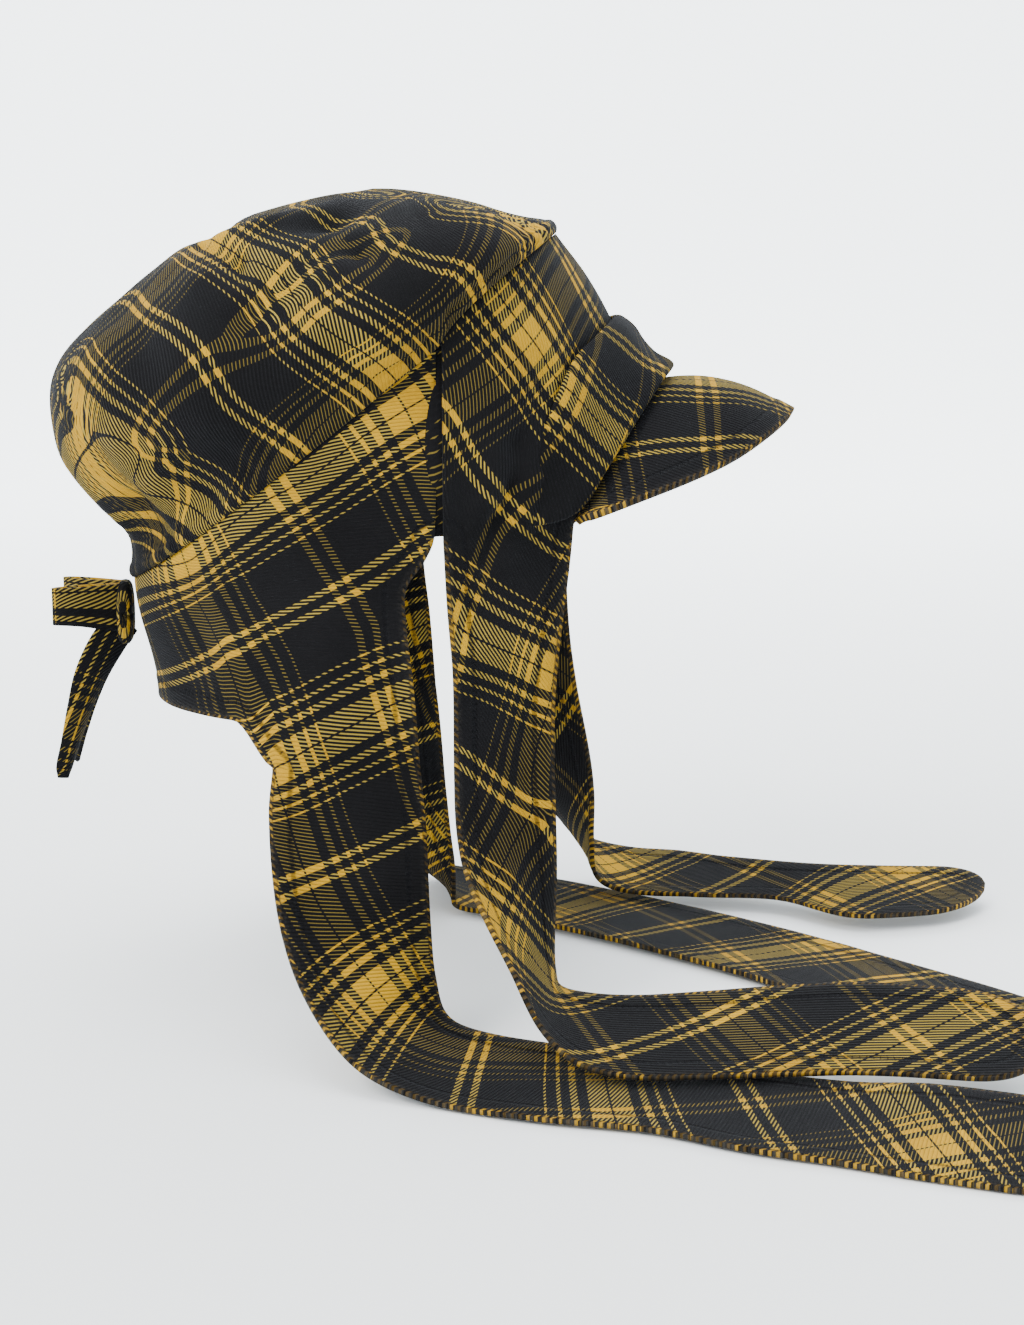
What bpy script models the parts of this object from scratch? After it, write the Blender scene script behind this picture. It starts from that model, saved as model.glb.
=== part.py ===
"""A plaid cloth cap with a puffed crown, a peak, side flaps with long ties and a small back bow.

Metres, +X to the front, +Y to the wearer's left, +Z up. The origin is the middle of the head
opening at the height of the ears. The cap has its worn form: the flaps and front ties hang down
on each side, reach the level that the wearer's seat or table has, and lie forward on it.
"""
import math
from collections import namedtuple

import bpy
from mathutils import Vector

# Cloth walls and the gap that is left where two pieces are sewn together
CLOTH_WALL = 0.0020
CUFF_WALL = 0.0014
TIE_WALL = 0.0024
PEAK_WALL = 0.0030
BOW_WALL = 0.0016
SEAM_GAP = 0.0007
CROWN_CLEAR = 0.0013

# Head opening
AXIS_X = -0.008
HEAD_BACK = 0.101
HEAD_SIDE = 0.084
HEAD_ROUNDNESS = 2.2

# Seam between the crown and the bands
SEAM_BACK_Z = -0.011
SEAM_SIDE_X = 0.020
SEAM_SIDE_Z = 0.087
SEAM_SIDE_Y = 0.0805
SEAM_FRONT_X = 0.066
SEAM_FRONT_Z = 0.130
SEAM_SAG = 1.10

# Crown
CROWN_TOP_Z = 0.147

# Front panel: its hem runs from the temples up over the forehead
HEM_FRONT_X = 0.100
HEM_FRONT_Z = 0.068
HEM_SIDE_Z = 0.012
TEMPLE_HALF_WIDTH = 0.058
PANEL_BULGE = 0.004

# Forehead cuff, a pleat of the front panel
CUFF_PROUD = 0.0150
CUFF_EASE = 0.045

# Peak
PEAK_LENGTH = 0.094
PEAK_HALF_WIDTH = 0.066
PEAK_TIP_Z = 0.0575
PEAK_CORNER_Z = 0.0125
PEAK_CROWNING = 0.007

# Side flaps
FLAP_BACK_Z = -0.059
FLAP_STRAP_Z = -0.077
FLAP_STRAP_REAR_X = -0.046
FLAP_NAPE_TUCK = 0.009
FLAP_FLARE = 0.004

# Long ties: how far they drop below the ears and reach forward, and their widths
TIE_DROP = 0.188
TIE_REACH = 0.280
TIE_SPREAD = 0.200
REAR_TIE_WIDTH = 0.063
FRONT_TIE_WIDTH = 0.050
TIE_POINT = 0.030

# Back bow
BOW_STRIP = 0.018
BOW_LOOP_LENGTH = 0.030
BOW_LOOP_THICKNESS = 0.007
BOW_TAIL_LENGTH = 0.078
BOW_SPLAY = 26.0
LOOP_LIFT = 0.28
KNOT_HEIGHT = 0.028
KNOT_WIDTH = 0.015
KNOT_DEPTH = 0.0055
BOW_Z = -0.0270

# Crown section, from its seam (at 0) to its middle (at 1). "out" is a share of the seam's
# distance from the axis and "up" a share of the rise, to the back, the side and the front.
CrownRow = namedtuple("CrownRow", "at back_out back_up side_out side_up front_out front_up")
CROWN_SECTION = (
    CrownRow(0.00, 1.000, 0.000, 1.000, 0.000, 1.000, 0.000),
    CrownRow(0.09, 1.030, 0.108, 1.050, 0.110, 0.975, 0.200),
    CrownRow(0.18, 1.160, 0.190, 1.110, 0.230, 0.920, 0.300),
    CrownRow(0.27, 1.280, 0.304, 1.130, 0.360, 0.840, 0.360),
    CrownRow(0.36, 1.317, 0.449, 1.100, 0.500, 0.760, 0.430),
    CrownRow(0.45, 1.277, 0.557, 1.020, 0.630, 0.670, 0.530),
    CrownRow(0.54, 1.149, 0.652, 0.900, 0.740, 0.570, 0.640),
    CrownRow(0.63, 0.930, 0.775, 0.760, 0.830, 0.460, 0.750),
    CrownRow(0.72, 0.743, 0.861, 0.620, 0.890, 0.360, 0.840),
    CrownRow(0.80, 0.600, 0.905, 0.480, 0.935, 0.270, 0.900),
    CrownRow(0.87, 0.440, 0.943, 0.340, 0.965, 0.180, 0.950),
    CrownRow(0.94, 0.230, 0.978, 0.170, 0.990, 0.090, 0.985),
    CrownRow(1.00, 0.000, 1.000, 0.000, 1.000, 0.000, 1.000),
)

# Dents in the crown: where (degrees from the front, to the wearer's right if negative, and
# share up the section), how wide in both, and how deep as a share of the crown's rise.
Dent = namedtuple("Dent", "turn at turn_width at_width depth")
CROWN_DENTS = (
    Dent(-168.0, 0.775, 26.0, 0.040, 0.045),
    Dent(-104.0, 0.700, 12.0, 0.070, 0.040),
    Dent(-114.0, 0.430, 14.0, 0.110, 0.035),
    Dent(-150.0, 0.130, 9.0, 0.120, 0.030),
    Dent(-128.0, 0.120, 7.0, 0.100, 0.022),
    Dent(120.0, 0.640, 16.0, 0.080, 0.035),
    Dent(146.0, 0.140, 10.0, 0.120, 0.028),
)

# Hem of the front panel, from the forehead (at 0) to the seam with the side flap (at 1).
# "forward" runs from the side seam to the forehead, "aside" is a share of the temple's half
# width and "up" of the hem's rise.
HemRow = namedtuple("HemRow", "at forward aside up")
PANEL_HEM = (
    HemRow(0.00, 1.000, 0.000, 1.000),
    HemRow(0.17, 0.968, 0.300, 0.910),
    HemRow(0.33, 0.888, 0.590, 0.660),
    HemRow(0.50, 0.775, 0.830, 0.357),
    HemRow(0.65, 0.650, 1.000, 0.071),
    HemRow(0.80, 0.430, 1.170, 0.020),
    HemRow(1.00, 0.000, 1.390, 0.000),
)

# Cuff: where its upper edge lies down the panel, and how far it stands out, from the
# forehead (at 0) to where it is pinched into the front tie.
CuffRow = namedtuple("CuffRow", "at down proud")
CUFF_RUN = (
    CuffRow(0.00, 0.580, 1.00),
    CuffRow(0.17, 0.565, 0.76),
    CuffRow(0.33, 0.525, 0.50),
    CuffRow(0.50, 0.505, 0.38),
    CuffRow(0.65, 0.590, 0.33),
    CuffRow(0.79, 0.850, 0.30),
)

# Section of the cuff: down the panel from its upper edge to the hem, and out from the panel
CuffSection = namedtuple("CuffSection", "at down out")
CUFF_SECTION = (
    CuffSection(0.00, 0.000, 0.02),
    CuffSection(0.10, 0.040, 0.16),
    CuffSection(0.25, 0.220, 0.36),
    CuffSection(0.45, 0.450, 0.46),
    CuffSection(0.62, 0.680, 0.66),
    CuffSection(0.74, 0.840, 0.94),
    CuffSection(0.82, 0.915, 1.00),
    CuffSection(0.90, 0.950, 0.86),
    CuffSection(1.00, 0.945, 0.50),
)

# Front edge of the side flap, from its seam with the front panel down the rear tie
EdgeRow = namedtuple("EdgeRow", "at x")
FLAP_FRONT_EDGE = (
    EdgeRow(0.00, 1.00),
    EdgeRow(0.44, 0.96),
    EdgeRow(0.50, 0.76),
    EdgeRow(0.56, 0.42),
    EdgeRow(0.64, 0.40),
    EdgeRow(0.80, 0.54),
    EdgeRow(1.00, 0.66),
)

# Long ties, from the cap (at 0) to the point (at 1). "x" is a share of the reach, "y" of the
# spread and "z" of the drop below the ears; "turn" is the way the strip faces in plan and
# "rise" the tilt of its front edge, in degrees.
TieRow = namedtuple("TieRow", "at x y z width turn rise")
REAR_TIE_RIGHT = (
    TieRow(0.00, -0.060, 0.430, -0.415, 0.96, -4.0, 0.0),
    TieRow(0.07, -0.057, 0.460, -0.520, 1.00, 3.0, -4.0),
    TieRow(0.16, -0.043, 0.510, -0.700, 0.96, 16.0, -6.0),
    TieRow(0.22, -0.021, 0.555, -0.825, 0.92, 33.0, -3.0),
    TieRow(0.28, 0.022, 0.600, -0.925, 0.90, 56.0, 4.0),
    TieRow(0.34, 0.090, 0.640, -0.965, 0.92, 76.0, 7.0),
    TieRow(0.44, 0.215, 0.705, -0.972, 0.95, 84.0, 5.5),
    TieRow(0.56, 0.365, 0.755, -0.977, 0.96, 82.0, 3.5),
    TieRow(0.67, 0.490, 0.835, -0.978, 0.99, 79.0, 3.5),
    TieRow(0.78, 0.605, 0.892, -0.977, 1.00, 78.0, 4.0),
    TieRow(0.88, 0.705, 0.950, -0.968, 1.00, 76.0, 8.0),
    TieRow(1.00, 0.900, 1.045, -0.968, 1.00, 74.0, 8.0),
)
FRONT_TIE_RIGHT = (
    TieRow(0.00, 0.162, 0.345, 0.070, 1.00, 20.0, 2.0),
    TieRow(0.07, 0.162, 0.372, -0.060, 0.93, 20.0, 0.0),
    TieRow(0.15, 0.164, 0.395, -0.230, 0.84, 20.0, -1.0),
    TieRow(0.24, 0.165, 0.425, -0.415, 0.84, 22.0, -5.0),
    TieRow(0.31, 0.168, 0.448, -0.540, 0.88, 27.0, -12.0),
    TieRow(0.36, 0.175, 0.472, -0.635, 0.92, 39.0, -15.0),
    TieRow(0.41, 0.188, 0.498, -0.725, 0.92, 54.0, -18.0),
    TieRow(0.46, 0.205, 0.530, -0.805, 0.92, 68.0, -16.0),
    TieRow(0.51, 0.228, 0.575, -0.868, 0.94, 80.0, 0.0),
    TieRow(0.57, 0.275, 0.612, -0.900, 0.98, 82.0, 12.0),
    TieRow(0.63, 0.345, 0.632, -0.908, 1.00, 82.0, 17.0),
    TieRow(0.70, 0.430, 0.632, -0.904, 1.00, 84.0, 19.0),
    TieRow(0.80, 0.550, 0.628, -0.896, 1.02, 84.0, 20.0),
    TieRow(0.90, 0.675, 0.624, -0.894, 1.04, 83.0, 20.0),
    TieRow(1.00, 0.895, 0.640, -0.912, 1.06, 84.0, 18.0),
)
REAR_TIE_LEFT = (
    TieRow(0.00, -0.060, 0.430, -0.415, 0.96, -4.0, 0.0),
    TieRow(0.07, -0.057, 0.460, -0.520, 1.00, 3.0, -4.0),
    TieRow(0.15, -0.043, 0.510, -0.700, 0.98, 14.0, -5.0),
    TieRow(0.21, -0.021, 0.550, -0.840, 0.96, 30.0, -3.0),
    TieRow(0.27, 0.025, 0.580, -0.940, 0.96, 62.0, 0.0),
    TieRow(0.33, 0.095, 0.565, -0.978, 0.98, 98.0, 0.0),
    TieRow(0.42, 0.210, 0.490, -0.982, 1.00, 124.0, 0.0),
    TieRow(0.54, 0.375, 0.330, -0.984, 1.00, 134.0, 0.0),
    TieRow(0.70, 0.568, 0.100, -0.984, 1.00, 140.0, 0.0),
    TieRow(0.84, 0.768, -0.190, -0.984, 1.00, 142.0, 0.0),
    TieRow(1.00, 0.960, -0.490, -0.984, 1.00, 142.0, 0.0),
)
FRONT_TIE_LEFT = (
    TieRow(0.00, 0.162, 0.345, 0.070, 1.00, 20.0, 2.0),
    TieRow(0.07, 0.172, 0.375, -0.060, 0.94, 20.0, 0.0),
    TieRow(0.15, 0.190, 0.405, -0.230, 0.88, 18.0, 0.0),
    TieRow(0.24, 0.212, 0.435, -0.415, 0.86, 20.0, -3.0),
    TieRow(0.31, 0.232, 0.462, -0.540, 0.88, 28.0, -6.0),
    TieRow(0.38, 0.255, 0.495, -0.670, 0.92, 46.0, -6.0),
    TieRow(0.44, 0.277, 0.527, -0.790, 0.95, 66.0, -6.0),
    TieRow(0.50, 0.310, 0.555, -0.888, 0.98, 84.0, -8.0),
    TieRow(0.56, 0.375, 0.572, -0.930, 1.00, 92.0, -9.0),
    TieRow(0.65, 0.480, 0.570, -0.940, 1.00, 84.0, -9.0),
    TieRow(0.74, 0.590, 0.530, -0.940, 1.00, 68.0, -8.0),
    TieRow(0.84, 0.725, 0.410, -0.935, 1.02, 84.0, -11.0),
    TieRow(0.92, 0.850, 0.420, -0.940, 1.04, 98.0, -9.0),
    TieRow(1.00, 0.990, 0.480, -0.950, 1.04, 104.0, -6.0),
)

# Tail of the bow: down and out from the knot, how far the strip is turned
TailRow = namedtuple("TailRow", "at back down width turn")
BOW_TAIL = (
    TailRow(0.00, 0.00, 0.02, 0.60, 46.0),
    TailRow(0.16, 0.10, 0.17, 0.86, 54.0),
    TailRow(0.34, 0.19, 0.33, 1.00, 62.0),
    TailRow(0.54, 0.25, 0.51, 1.00, 68.0),
    TailRow(0.76, 0.31, 0.72, 0.95, 73.0),
    TailRow(0.90, 0.36, 0.87, 0.90, 74.0),
    TailRow(1.00, 0.38, 0.97, 0.86, 74.0),
)

# How finely the faces are cut
CROWN_ROWS = 13
SIDE_COLUMNS = 14
FRONT_COLUMNS = 11
PANEL_ROWS = 6
BAND_ROWS = 8
STRAP_ROWS = 26
STRAP_COLUMNS = 4
CUFF_COLUMNS = 26
PEAK_COLUMNS = 24
PEAK_ROWS = 5

RIGHT = -1
LEFT = 1


def smooth(rows, name, at):
    """The value of a table's column at a place along it, on a smooth curve through its rows."""
    last = len(rows) - 1
    at = min(max(at, rows[0].at), rows[last].at)
    index = 0
    while index < last - 1 and at > rows[index + 1].at:
        index += 1

    def slope(k):
        low = max(k - 1, 0)
        high = min(k + 1, last)
        return (getattr(rows[high], name) - getattr(rows[low], name)) / (rows[high].at - rows[low].at)

    step = rows[index + 1].at - rows[index].at
    t = (at - rows[index].at) / step
    start = getattr(rows[index], name)
    end = getattr(rows[index + 1], name)
    return (
        start * (2 * t ** 3 - 3 * t ** 2 + 1)
        + slope(index) * step * (t ** 3 - 2 * t ** 2 + t)
        + end * (3 * t ** 2 - 2 * t ** 3)
        + slope(index + 1) * step * (t ** 3 - t ** 2)
    )


def ease(t):
    """A smooth step from 0 to 1."""
    t = min(max(t, 0.0), 1.0)
    return t * t * (3.0 - 2.0 * t)


def spread(count, start=0.0, end=1.0):
    """Evenly spaced values from start to end."""
    return [start + (end - start) * k / (count - 1) for k in range(count)]


def cloth_material(name, color, roughness):
    """A plain matt cloth."""
    material = bpy.data.materials.new(name)
    material.use_nodes = True
    shader = material.node_tree.nodes["Principled BSDF"]
    shader.inputs["Base Color"].default_value = (*color, 1.0)
    shader.inputs["Roughness"].default_value = roughness
    shader.inputs["Metallic"].default_value = 0.0
    return material


def add_sheet(name, patches, wall, material, closed_ring=False):
    """One piece of cloth: patches of points are welded at shared rows and given a wall."""
    places = {}
    points = []
    faces = []

    def index_of(point):
        key = tuple(round(value, 7) for value in point)
        if key not in places:
            places[key] = len(points)
            points.append(point)
        return places[key]

    for patch in patches:
        grid = [[index_of(point) for point in row] for row in patch]
        if closed_ring:
            grid.append(grid[0])
        for upper, lower in zip(grid, grid[1:]):
            for k in range(len(upper) - 1):
                corners = []
                for corner in (upper[k], lower[k], lower[k + 1], upper[k + 1]):
                    if corner not in corners:
                        corners.append(corner)
                if len(corners) > 2:
                    faces.append(corners)
    mesh = bpy.data.meshes.new(name)
    mesh.from_pydata([tuple(point) for point in points], [], faces)
    mesh.validate()
    mesh.materials.append(material)
    mesh.shade_smooth()
    mesh.set_sharp_from_angle(angle=math.radians(50))
    piece = bpy.data.objects.new(name, mesh)
    bpy.context.collection.objects.link(piece)
    wall_of = piece.modifiers.new("wall", "SOLIDIFY")
    wall_of.thickness = wall
    wall_of.offset = 0.0
    return piece


def side_plan(share, side_reach, tuck):
    """A place on the head's outline, from the centre back (0) to the front edge of a flap (1)."""
    back = HEAD_BACK - tuck
    end = math.acos(max(-1.0, min(1.0, (AXIS_X - side_reach) / (HEAD_BACK + 0.3 * HEAD_SIDE))))
    angle = share * end
    power = 2.0 / HEAD_ROUNDNESS
    away = math.cos(angle)
    ahead = (HEAD_BACK + 0.3 * HEAD_SIDE) if away < 0 else back
    x = AXIS_X - ahead * math.copysign(abs(away) ** (power if away > 0 else 1.0), away)
    return x, HEAD_SIDE * math.sin(angle) ** power


def seam_height(x):
    """Height of the seam over the side flap, from the centre back to the front panel."""
    back_x = AXIS_X - HEAD_BACK
    share = min(max((x - back_x) / (SEAM_SIDE_X - back_x), 0.0), 1.0)
    return SEAM_BACK_Z + (SEAM_SIDE_Z - SEAM_BACK_Z) * share ** SEAM_SAG


def side_seam(share, side):
    """Crown seam over a side flap, from the centre back (0) to the front panel (1)."""
    x, y = side_plan(share, SEAM_SIDE_X, 0.0)
    y = y + (SEAM_SIDE_Y - side_plan(1.0, SEAM_SIDE_X, 0.0)[1]) * ease(share * 2.0 - 1.0)
    return Vector((x, side * y, seam_height(x)))


def front_seam(share, side):
    """Crown seam over the front panel, from the forehead (0) to the side flap (1)."""
    angle = share * math.pi / 2
    ahead = max(math.cos(angle), 0.0)
    return Vector((
        SEAM_SIDE_X + (SEAM_FRONT_X - SEAM_SIDE_X) * ahead ** 0.8,
        side * SEAM_SIDE_Y * math.sin(angle),
        SEAM_SIDE_Z + (SEAM_FRONT_Z - SEAM_SIDE_Z) * ahead ** 0.62,
    ))


def crown_point(seam, at):
    """A place on the crown, over a place on its seam and a share of the way to its middle."""
    outward = Vector((seam.x - AXIS_X, seam.y, 0.0))
    radius = outward.length
    outward.normalize()
    front = max(outward.x, 0.0) ** 2
    back = max(-outward.x, 0.0) ** 2
    side = 1.0 - front - back
    out = (
        back * smooth(CROWN_SECTION, "back_out", at)
        + side * smooth(CROWN_SECTION, "side_out", at)
        + front * smooth(CROWN_SECTION, "front_out", at)
    )
    up = (
        back * smooth(CROWN_SECTION, "back_up", at)
        + side * smooth(CROWN_SECTION, "side_up", at)
        + front * smooth(CROWN_SECTION, "front_up", at)
    )
    rise = CROWN_TOP_Z - seam.z
    turn = math.degrees(math.atan2(outward.y, outward.x))
    dent = 0.0
    for spot in CROWN_DENTS:
        away = abs(turn - spot.turn)
        away = min(away, 360.0 - away) / spot.turn_width
        along = (at - spot.at) / spot.at_width
        dent += spot.depth * math.exp(-away * away - along * along)
    inward = dent * CROWN_TOP_Z * ease(at / 0.08) * ease((1.0 - at) / 0.08)
    slope = ease((at - 0.3) / 0.5)
    return Vector((
        AXIS_X + outward.x * (radius * out - inward * (1.0 - slope)),
        outward.y * (radius * out - inward * (1.0 - slope)),
        seam.z + rise * up - inward * slope,
    ))


def build_crown(material):
    """The puffed crown, gathered into the seam all round."""
    seams = [front_seam(share, RIGHT) for share in spread(FRONT_COLUMNS)]
    seams += [side_seam(share, RIGHT) for share in spread(SIDE_COLUMNS, 1.0, 0.0)][1:]
    mirrored = [Vector((place.x, -place.y, place.z)) for place in seams[1:-1]]
    seams += mirrored[::-1] + seams[:1]
    rows = [[crown_point(seam, at) for seam in seams] for at in spread(CROWN_ROWS)]
    for k in range(len(seams) - 1):
        along = (seams[k + 1] - seams[k - 1 if k else -2]).normalized()
        into = rows[1][k] - rows[0][k]
        into -= along * into.dot(along)
        rows[0][k] = seams[k] + into.normalized() * CROWN_CLEAR
    rows[0][-1] = rows[0][0]
    middle = rows[-1][0]
    rows[-1] = [middle] * len(seams)
    return add_sheet("crown", [rows], CLOTH_WALL, material)


def hem_point(share, side):
    """Hem of the front panel, from the forehead (0) to the side flap (1)."""
    return Vector((
        SEAM_SIDE_X + (HEM_FRONT_X - SEAM_SIDE_X) * smooth(PANEL_HEM, "forward", share),
        side * TEMPLE_HALF_WIDTH * smooth(PANEL_HEM, "aside", share),
        HEM_SIDE_Z + (HEM_FRONT_Z - HEM_SIDE_Z) * smooth(PANEL_HEM, "up", share),
    ))


def panel_out(share, side):
    """The way the front panel faces."""
    angle = share * math.pi / 2
    return Vector((math.cos(angle), side * math.sin(angle), 0.35 * math.cos(angle))).normalized()


def panel_point(share, down, side):
    """A place on the front panel, from the crown seam (down 0) to the hem (down 1)."""
    top = front_seam(share, side)
    hem = hem_point(share, side)
    bulge = PANEL_BULGE * math.sin(math.pi * min(max(down, 0.0), 1.0))
    return top.lerp(hem, down) + panel_out(share, side) * bulge


def both_sides(count, reach=1.0):
    """Shares and sides from the wearer's right round the front to the left."""
    right = [(share, RIGHT) for share in spread(count, reach, 0.0)]
    left = [(share, LEFT) for share in spread(count, 0.0, reach)]
    return right + left[1:]


def side_edge_share():
    """Where the panel stops, so that it keeps the seam gap to the side flap."""
    return 1.0 - SEAM_GAP / (SEAM_FRONT_X - SEAM_SIDE_X)


def build_front_panel(material):
    """The panel over the forehead between the crown, the side flaps and the peak."""
    columns = both_sides(FRONT_COLUMNS + 2, side_edge_share())
    rows = []
    for down in spread(PANEL_ROWS, SEAM_GAP / (SEAM_FRONT_Z - HEM_FRONT_Z), 1.0):
        rows.append([panel_point(share, down, side) for share, side in columns])
    return add_sheet("front_panel", [rows], CLOTH_WALL, material)


def cuff_point(share, at, side):
    """A place on the cuff: down its section, at a share of the way round to the temple."""
    upper = smooth(CUFF_RUN, "down", share)
    down = upper + (1.0 - upper) * smooth(CUFF_SECTION, "down", at) - CUFF_EASE * share
    clear = (CLOTH_WALL + CUFF_WALL) / 2 + SEAM_GAP
    out = clear + CUFF_PROUD * smooth(CUFF_RUN, "proud", share) * smooth(CUFF_SECTION, "out", at)
    place = front_seam(share, side).lerp(hem_point(share, side), down)
    bulge = PANEL_BULGE * math.sin(math.pi * min(down, 1.0))
    return place + panel_out(share, side) * (bulge + out)


def build_cuff(material):
    """The pleat that stands out over the root of the peak and dies away at the temples."""
    columns = both_sides(CUFF_COLUMNS // 2 + 1, CUFF_RUN[-1].at)
    rows = []
    for row in CUFF_SECTION:
        rows.append([cuff_point(share, row.at, side) for share, side in columns])
    return add_sheet("forehead_cuff", [rows], CUFF_WALL, material)


def peak_rim(turn):
    """The outer edge of the peak, from the wearer's right (-90 degrees) to the left (90)."""
    ahead = max(math.cos(math.radians(turn)), 0.0)
    corner_x = SEAM_SIDE_X + (HEM_FRONT_X - SEAM_SIDE_X) * 0.65
    return Vector((
        corner_x + PEAK_LENGTH * ahead ** 0.94,
        PEAK_HALF_WIDTH * math.sin(math.radians(turn)),
        PEAK_CORNER_Z + (PEAK_TIP_Z - PEAK_CORNER_Z) * ahead ** 1.2,
    ))


def peak_root(turn):
    """The inner edge of the peak, just outside the hem of the front panel."""
    share = 0.65 * abs(turn) / 90.0
    side = LEFT if turn > 0 else RIGHT
    clear = CLOTH_WALL / 2 + SEAM_GAP
    place = hem_point(share, side)
    away = Vector((math.cos(math.radians(turn)), math.sin(math.radians(turn)), 0.0))
    lift = Vector((0.0, 0.0, PEAK_WALL * (0.65 * math.cos(math.radians(turn)) - 0.4)))
    return place + away * (clear + PEAK_WALL * 0.1) + lift


def peak_point(turn, out):
    """A place on the peak, from its root (0) to its edge (1)."""
    crowning = PEAK_CROWNING * math.sin(math.pi * out) * math.cos(math.radians(turn))
    return peak_root(turn).lerp(peak_rim(turn), out) + Vector((0.0, 0.0, crowning))


def build_peak(material):
    """The stiff curved peak."""
    rows = []
    for out in spread(PEAK_ROWS):
        rows.append([peak_point(turn, out) for turn in spread(PEAK_COLUMNS, -86.0, 86.0)])
    return add_sheet("peak", [rows], PEAK_WALL, material)


def tie_point(rows, at, across, side):
    """A place on a long tie: along it, and across it from its rear edge (0) to its front (1)."""
    centre = Vector((
        TIE_REACH * smooth(rows, "x", at),
        side * TIE_SPREAD * smooth(rows, "y", at),
        TIE_DROP * smooth(rows, "z", at),
    ))
    turn = math.radians(smooth(rows, "turn", at))
    rise = math.radians(smooth(rows, "rise", at))
    width = REAR_TIE_WIDTH if rows in (REAR_TIE_RIGHT, REAR_TIE_LEFT) else FRONT_TIE_WIDTH
    width = width * smooth(rows, "width", at)
    length = TIE_REACH * (rows[-1].x - rows[-2].x) / (rows[-1].at - rows[-2].at)
    left = min((1.0 - at) * length / TIE_POINT, 1.0)
    width = width * max(math.sqrt(max(1.0 - (1.0 - left) ** 2.4, 0.0)), 0.12)
    way = Vector((
        math.cos(turn) * math.cos(rise),
        -side * math.sin(turn) * math.cos(rise),
        math.sin(rise),
    ))
    return centre + way * width * (across - 0.5)


def strap_patch(top_row, rows, side):
    """The strip that goes on from a row of points into a long tie."""
    shares = spread(len(top_row))
    shift = [top_row[k] - tie_point(rows, 0.0, share, side) for k, share in enumerate(shares)]
    stations = spread(STRAP_ROWS, 0.0, 0.93) + [0.955, 0.975, 0.99, 1.0]
    patch = [list(top_row)]
    for at in stations[1:]:
        fade = 1.0 - ease(at / 0.2)
        patch.append([
            tie_point(rows, at, share, side) + shift[k] * fade for k, share in enumerate(shares)
        ])
    return patch


def flap_point(share, down, side):
    """A place on the side flap above its tie, from the centre back and from the crown seam."""
    seam = side_seam(share, side)
    strap = ease((seam.x - (FLAP_STRAP_REAR_X - 0.018)) / 0.020)
    bottom = FLAP_BACK_Z + (FLAP_STRAP_Z - FLAP_BACK_Z) * strap
    z = seam.z + (bottom - seam.z) * down
    tuck = FLAP_NAPE_TUCK * ease((SEAM_BACK_Z - z) / (SEAM_BACK_Z - FLAP_BACK_Z))
    x, y = side_plan(share, SEAM_SIDE_X, tuck)
    y = y + (SEAM_SIDE_Y - side_plan(1.0, SEAM_SIDE_X, 0.0)[1]) * ease(share * 2.0 - 1.0)
    drawn = smooth(FLAP_FRONT_EDGE, "x", down) - 1.0
    x = x + SEAM_SIDE_X * drawn * share ** 3
    y = y + FLAP_FLARE * ease(down) * share
    return Vector((x, side * y, z))


def build_flap(side, ties, material):
    """A side flap: the band round the back and side, cut in one with its long rear tie."""
    strap_start = SIDE_COLUMNS - 1 - STRAP_COLUMNS
    rear = 0.0
    while side_seam(rear, side).x < FLAP_STRAP_REAR_X:
        rear += 0.001
    trim = SEAM_GAP / 2 / (HEAD_SIDE * math.pi / 2)
    shares = spread(strap_start + 1, trim, rear)
    shares += spread(STRAP_COLUMNS + 1, rear, 1.0)[1:]
    band = []
    for down in spread(BAND_ROWS):
        band.append([flap_point(share, down, side) for share in shares])
    strap = strap_patch(band[-1][strap_start:], ties, side)
    name = ("right" if side == RIGHT else "left") + "_side_flap"
    return add_sheet(name, [band, strap], CLOTH_WALL, material)


def build_front_tie(side, ties, material):
    """A front tie, the strip that the front panel runs out into below the temple."""
    top_row = []
    for share in spread(STRAP_COLUMNS + 1, side_edge_share(), 0.65):
        top_row.append(panel_point(share, 1.0, side) - Vector((0.0, 0.0, SEAM_GAP)))
    name = ("right" if side == RIGHT else "left") + "_front_tie"
    return add_sheet(name, [strap_patch(top_row, ties, side)], TIE_WALL, material)


def build_knot(material):
    """The knot of the back bow, on the seam at the nape."""
    band_x = AXIS_X - HEAD_BACK - CLOTH_WALL / 2
    mesh = bpy.data.meshes.new("back_bow_knot")
    half = (KNOT_DEPTH / 2, KNOT_WIDTH / 2, KNOT_HEIGHT / 2)
    signs = [(a, b, c) for a in (-1, 1) for b in (-1, 1) for c in (-1, 1)]
    corners = [(a * half[0], b * half[1], c * half[2]) for a, b, c in signs]
    sides = ((0, 1, 3, 2), (4, 6, 7, 5), (0, 4, 5, 1), (2, 3, 7, 6), (0, 2, 6, 4), (1, 5, 7, 3))
    mesh.from_pydata(corners, [], sides)
    mesh.materials.append(material)
    mesh.shade_smooth()
    mesh.set_sharp_from_angle(angle=math.radians(50))
    knot = bpy.data.objects.new("back_bow_knot", mesh)
    bpy.context.collection.objects.link(knot)
    knot.location = (band_x - SEAM_GAP - KNOT_DEPTH / 2, 0.0, BOW_Z)
    rounding = knot.modifiers.new("rounding", "BEVEL")
    rounding.width = KNOT_DEPTH * 0.32
    rounding.segments = 2
    return knot


def bow_frame(side):
    """Where a loop or tail leaves the knot, and the way it goes in plan."""
    angle = math.radians(BOW_SPLAY)
    away = Vector((-math.cos(angle), side * math.sin(angle), 0.0))
    knot_x = AXIS_X - HEAD_BACK - CLOTH_WALL / 2 - SEAM_GAP - KNOT_DEPTH
    start = Vector((knot_x, side * KNOT_WIDTH * 0.26, BOW_Z))
    return start + away * (BOW_WALL / 2 + SEAM_GAP), away


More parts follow.
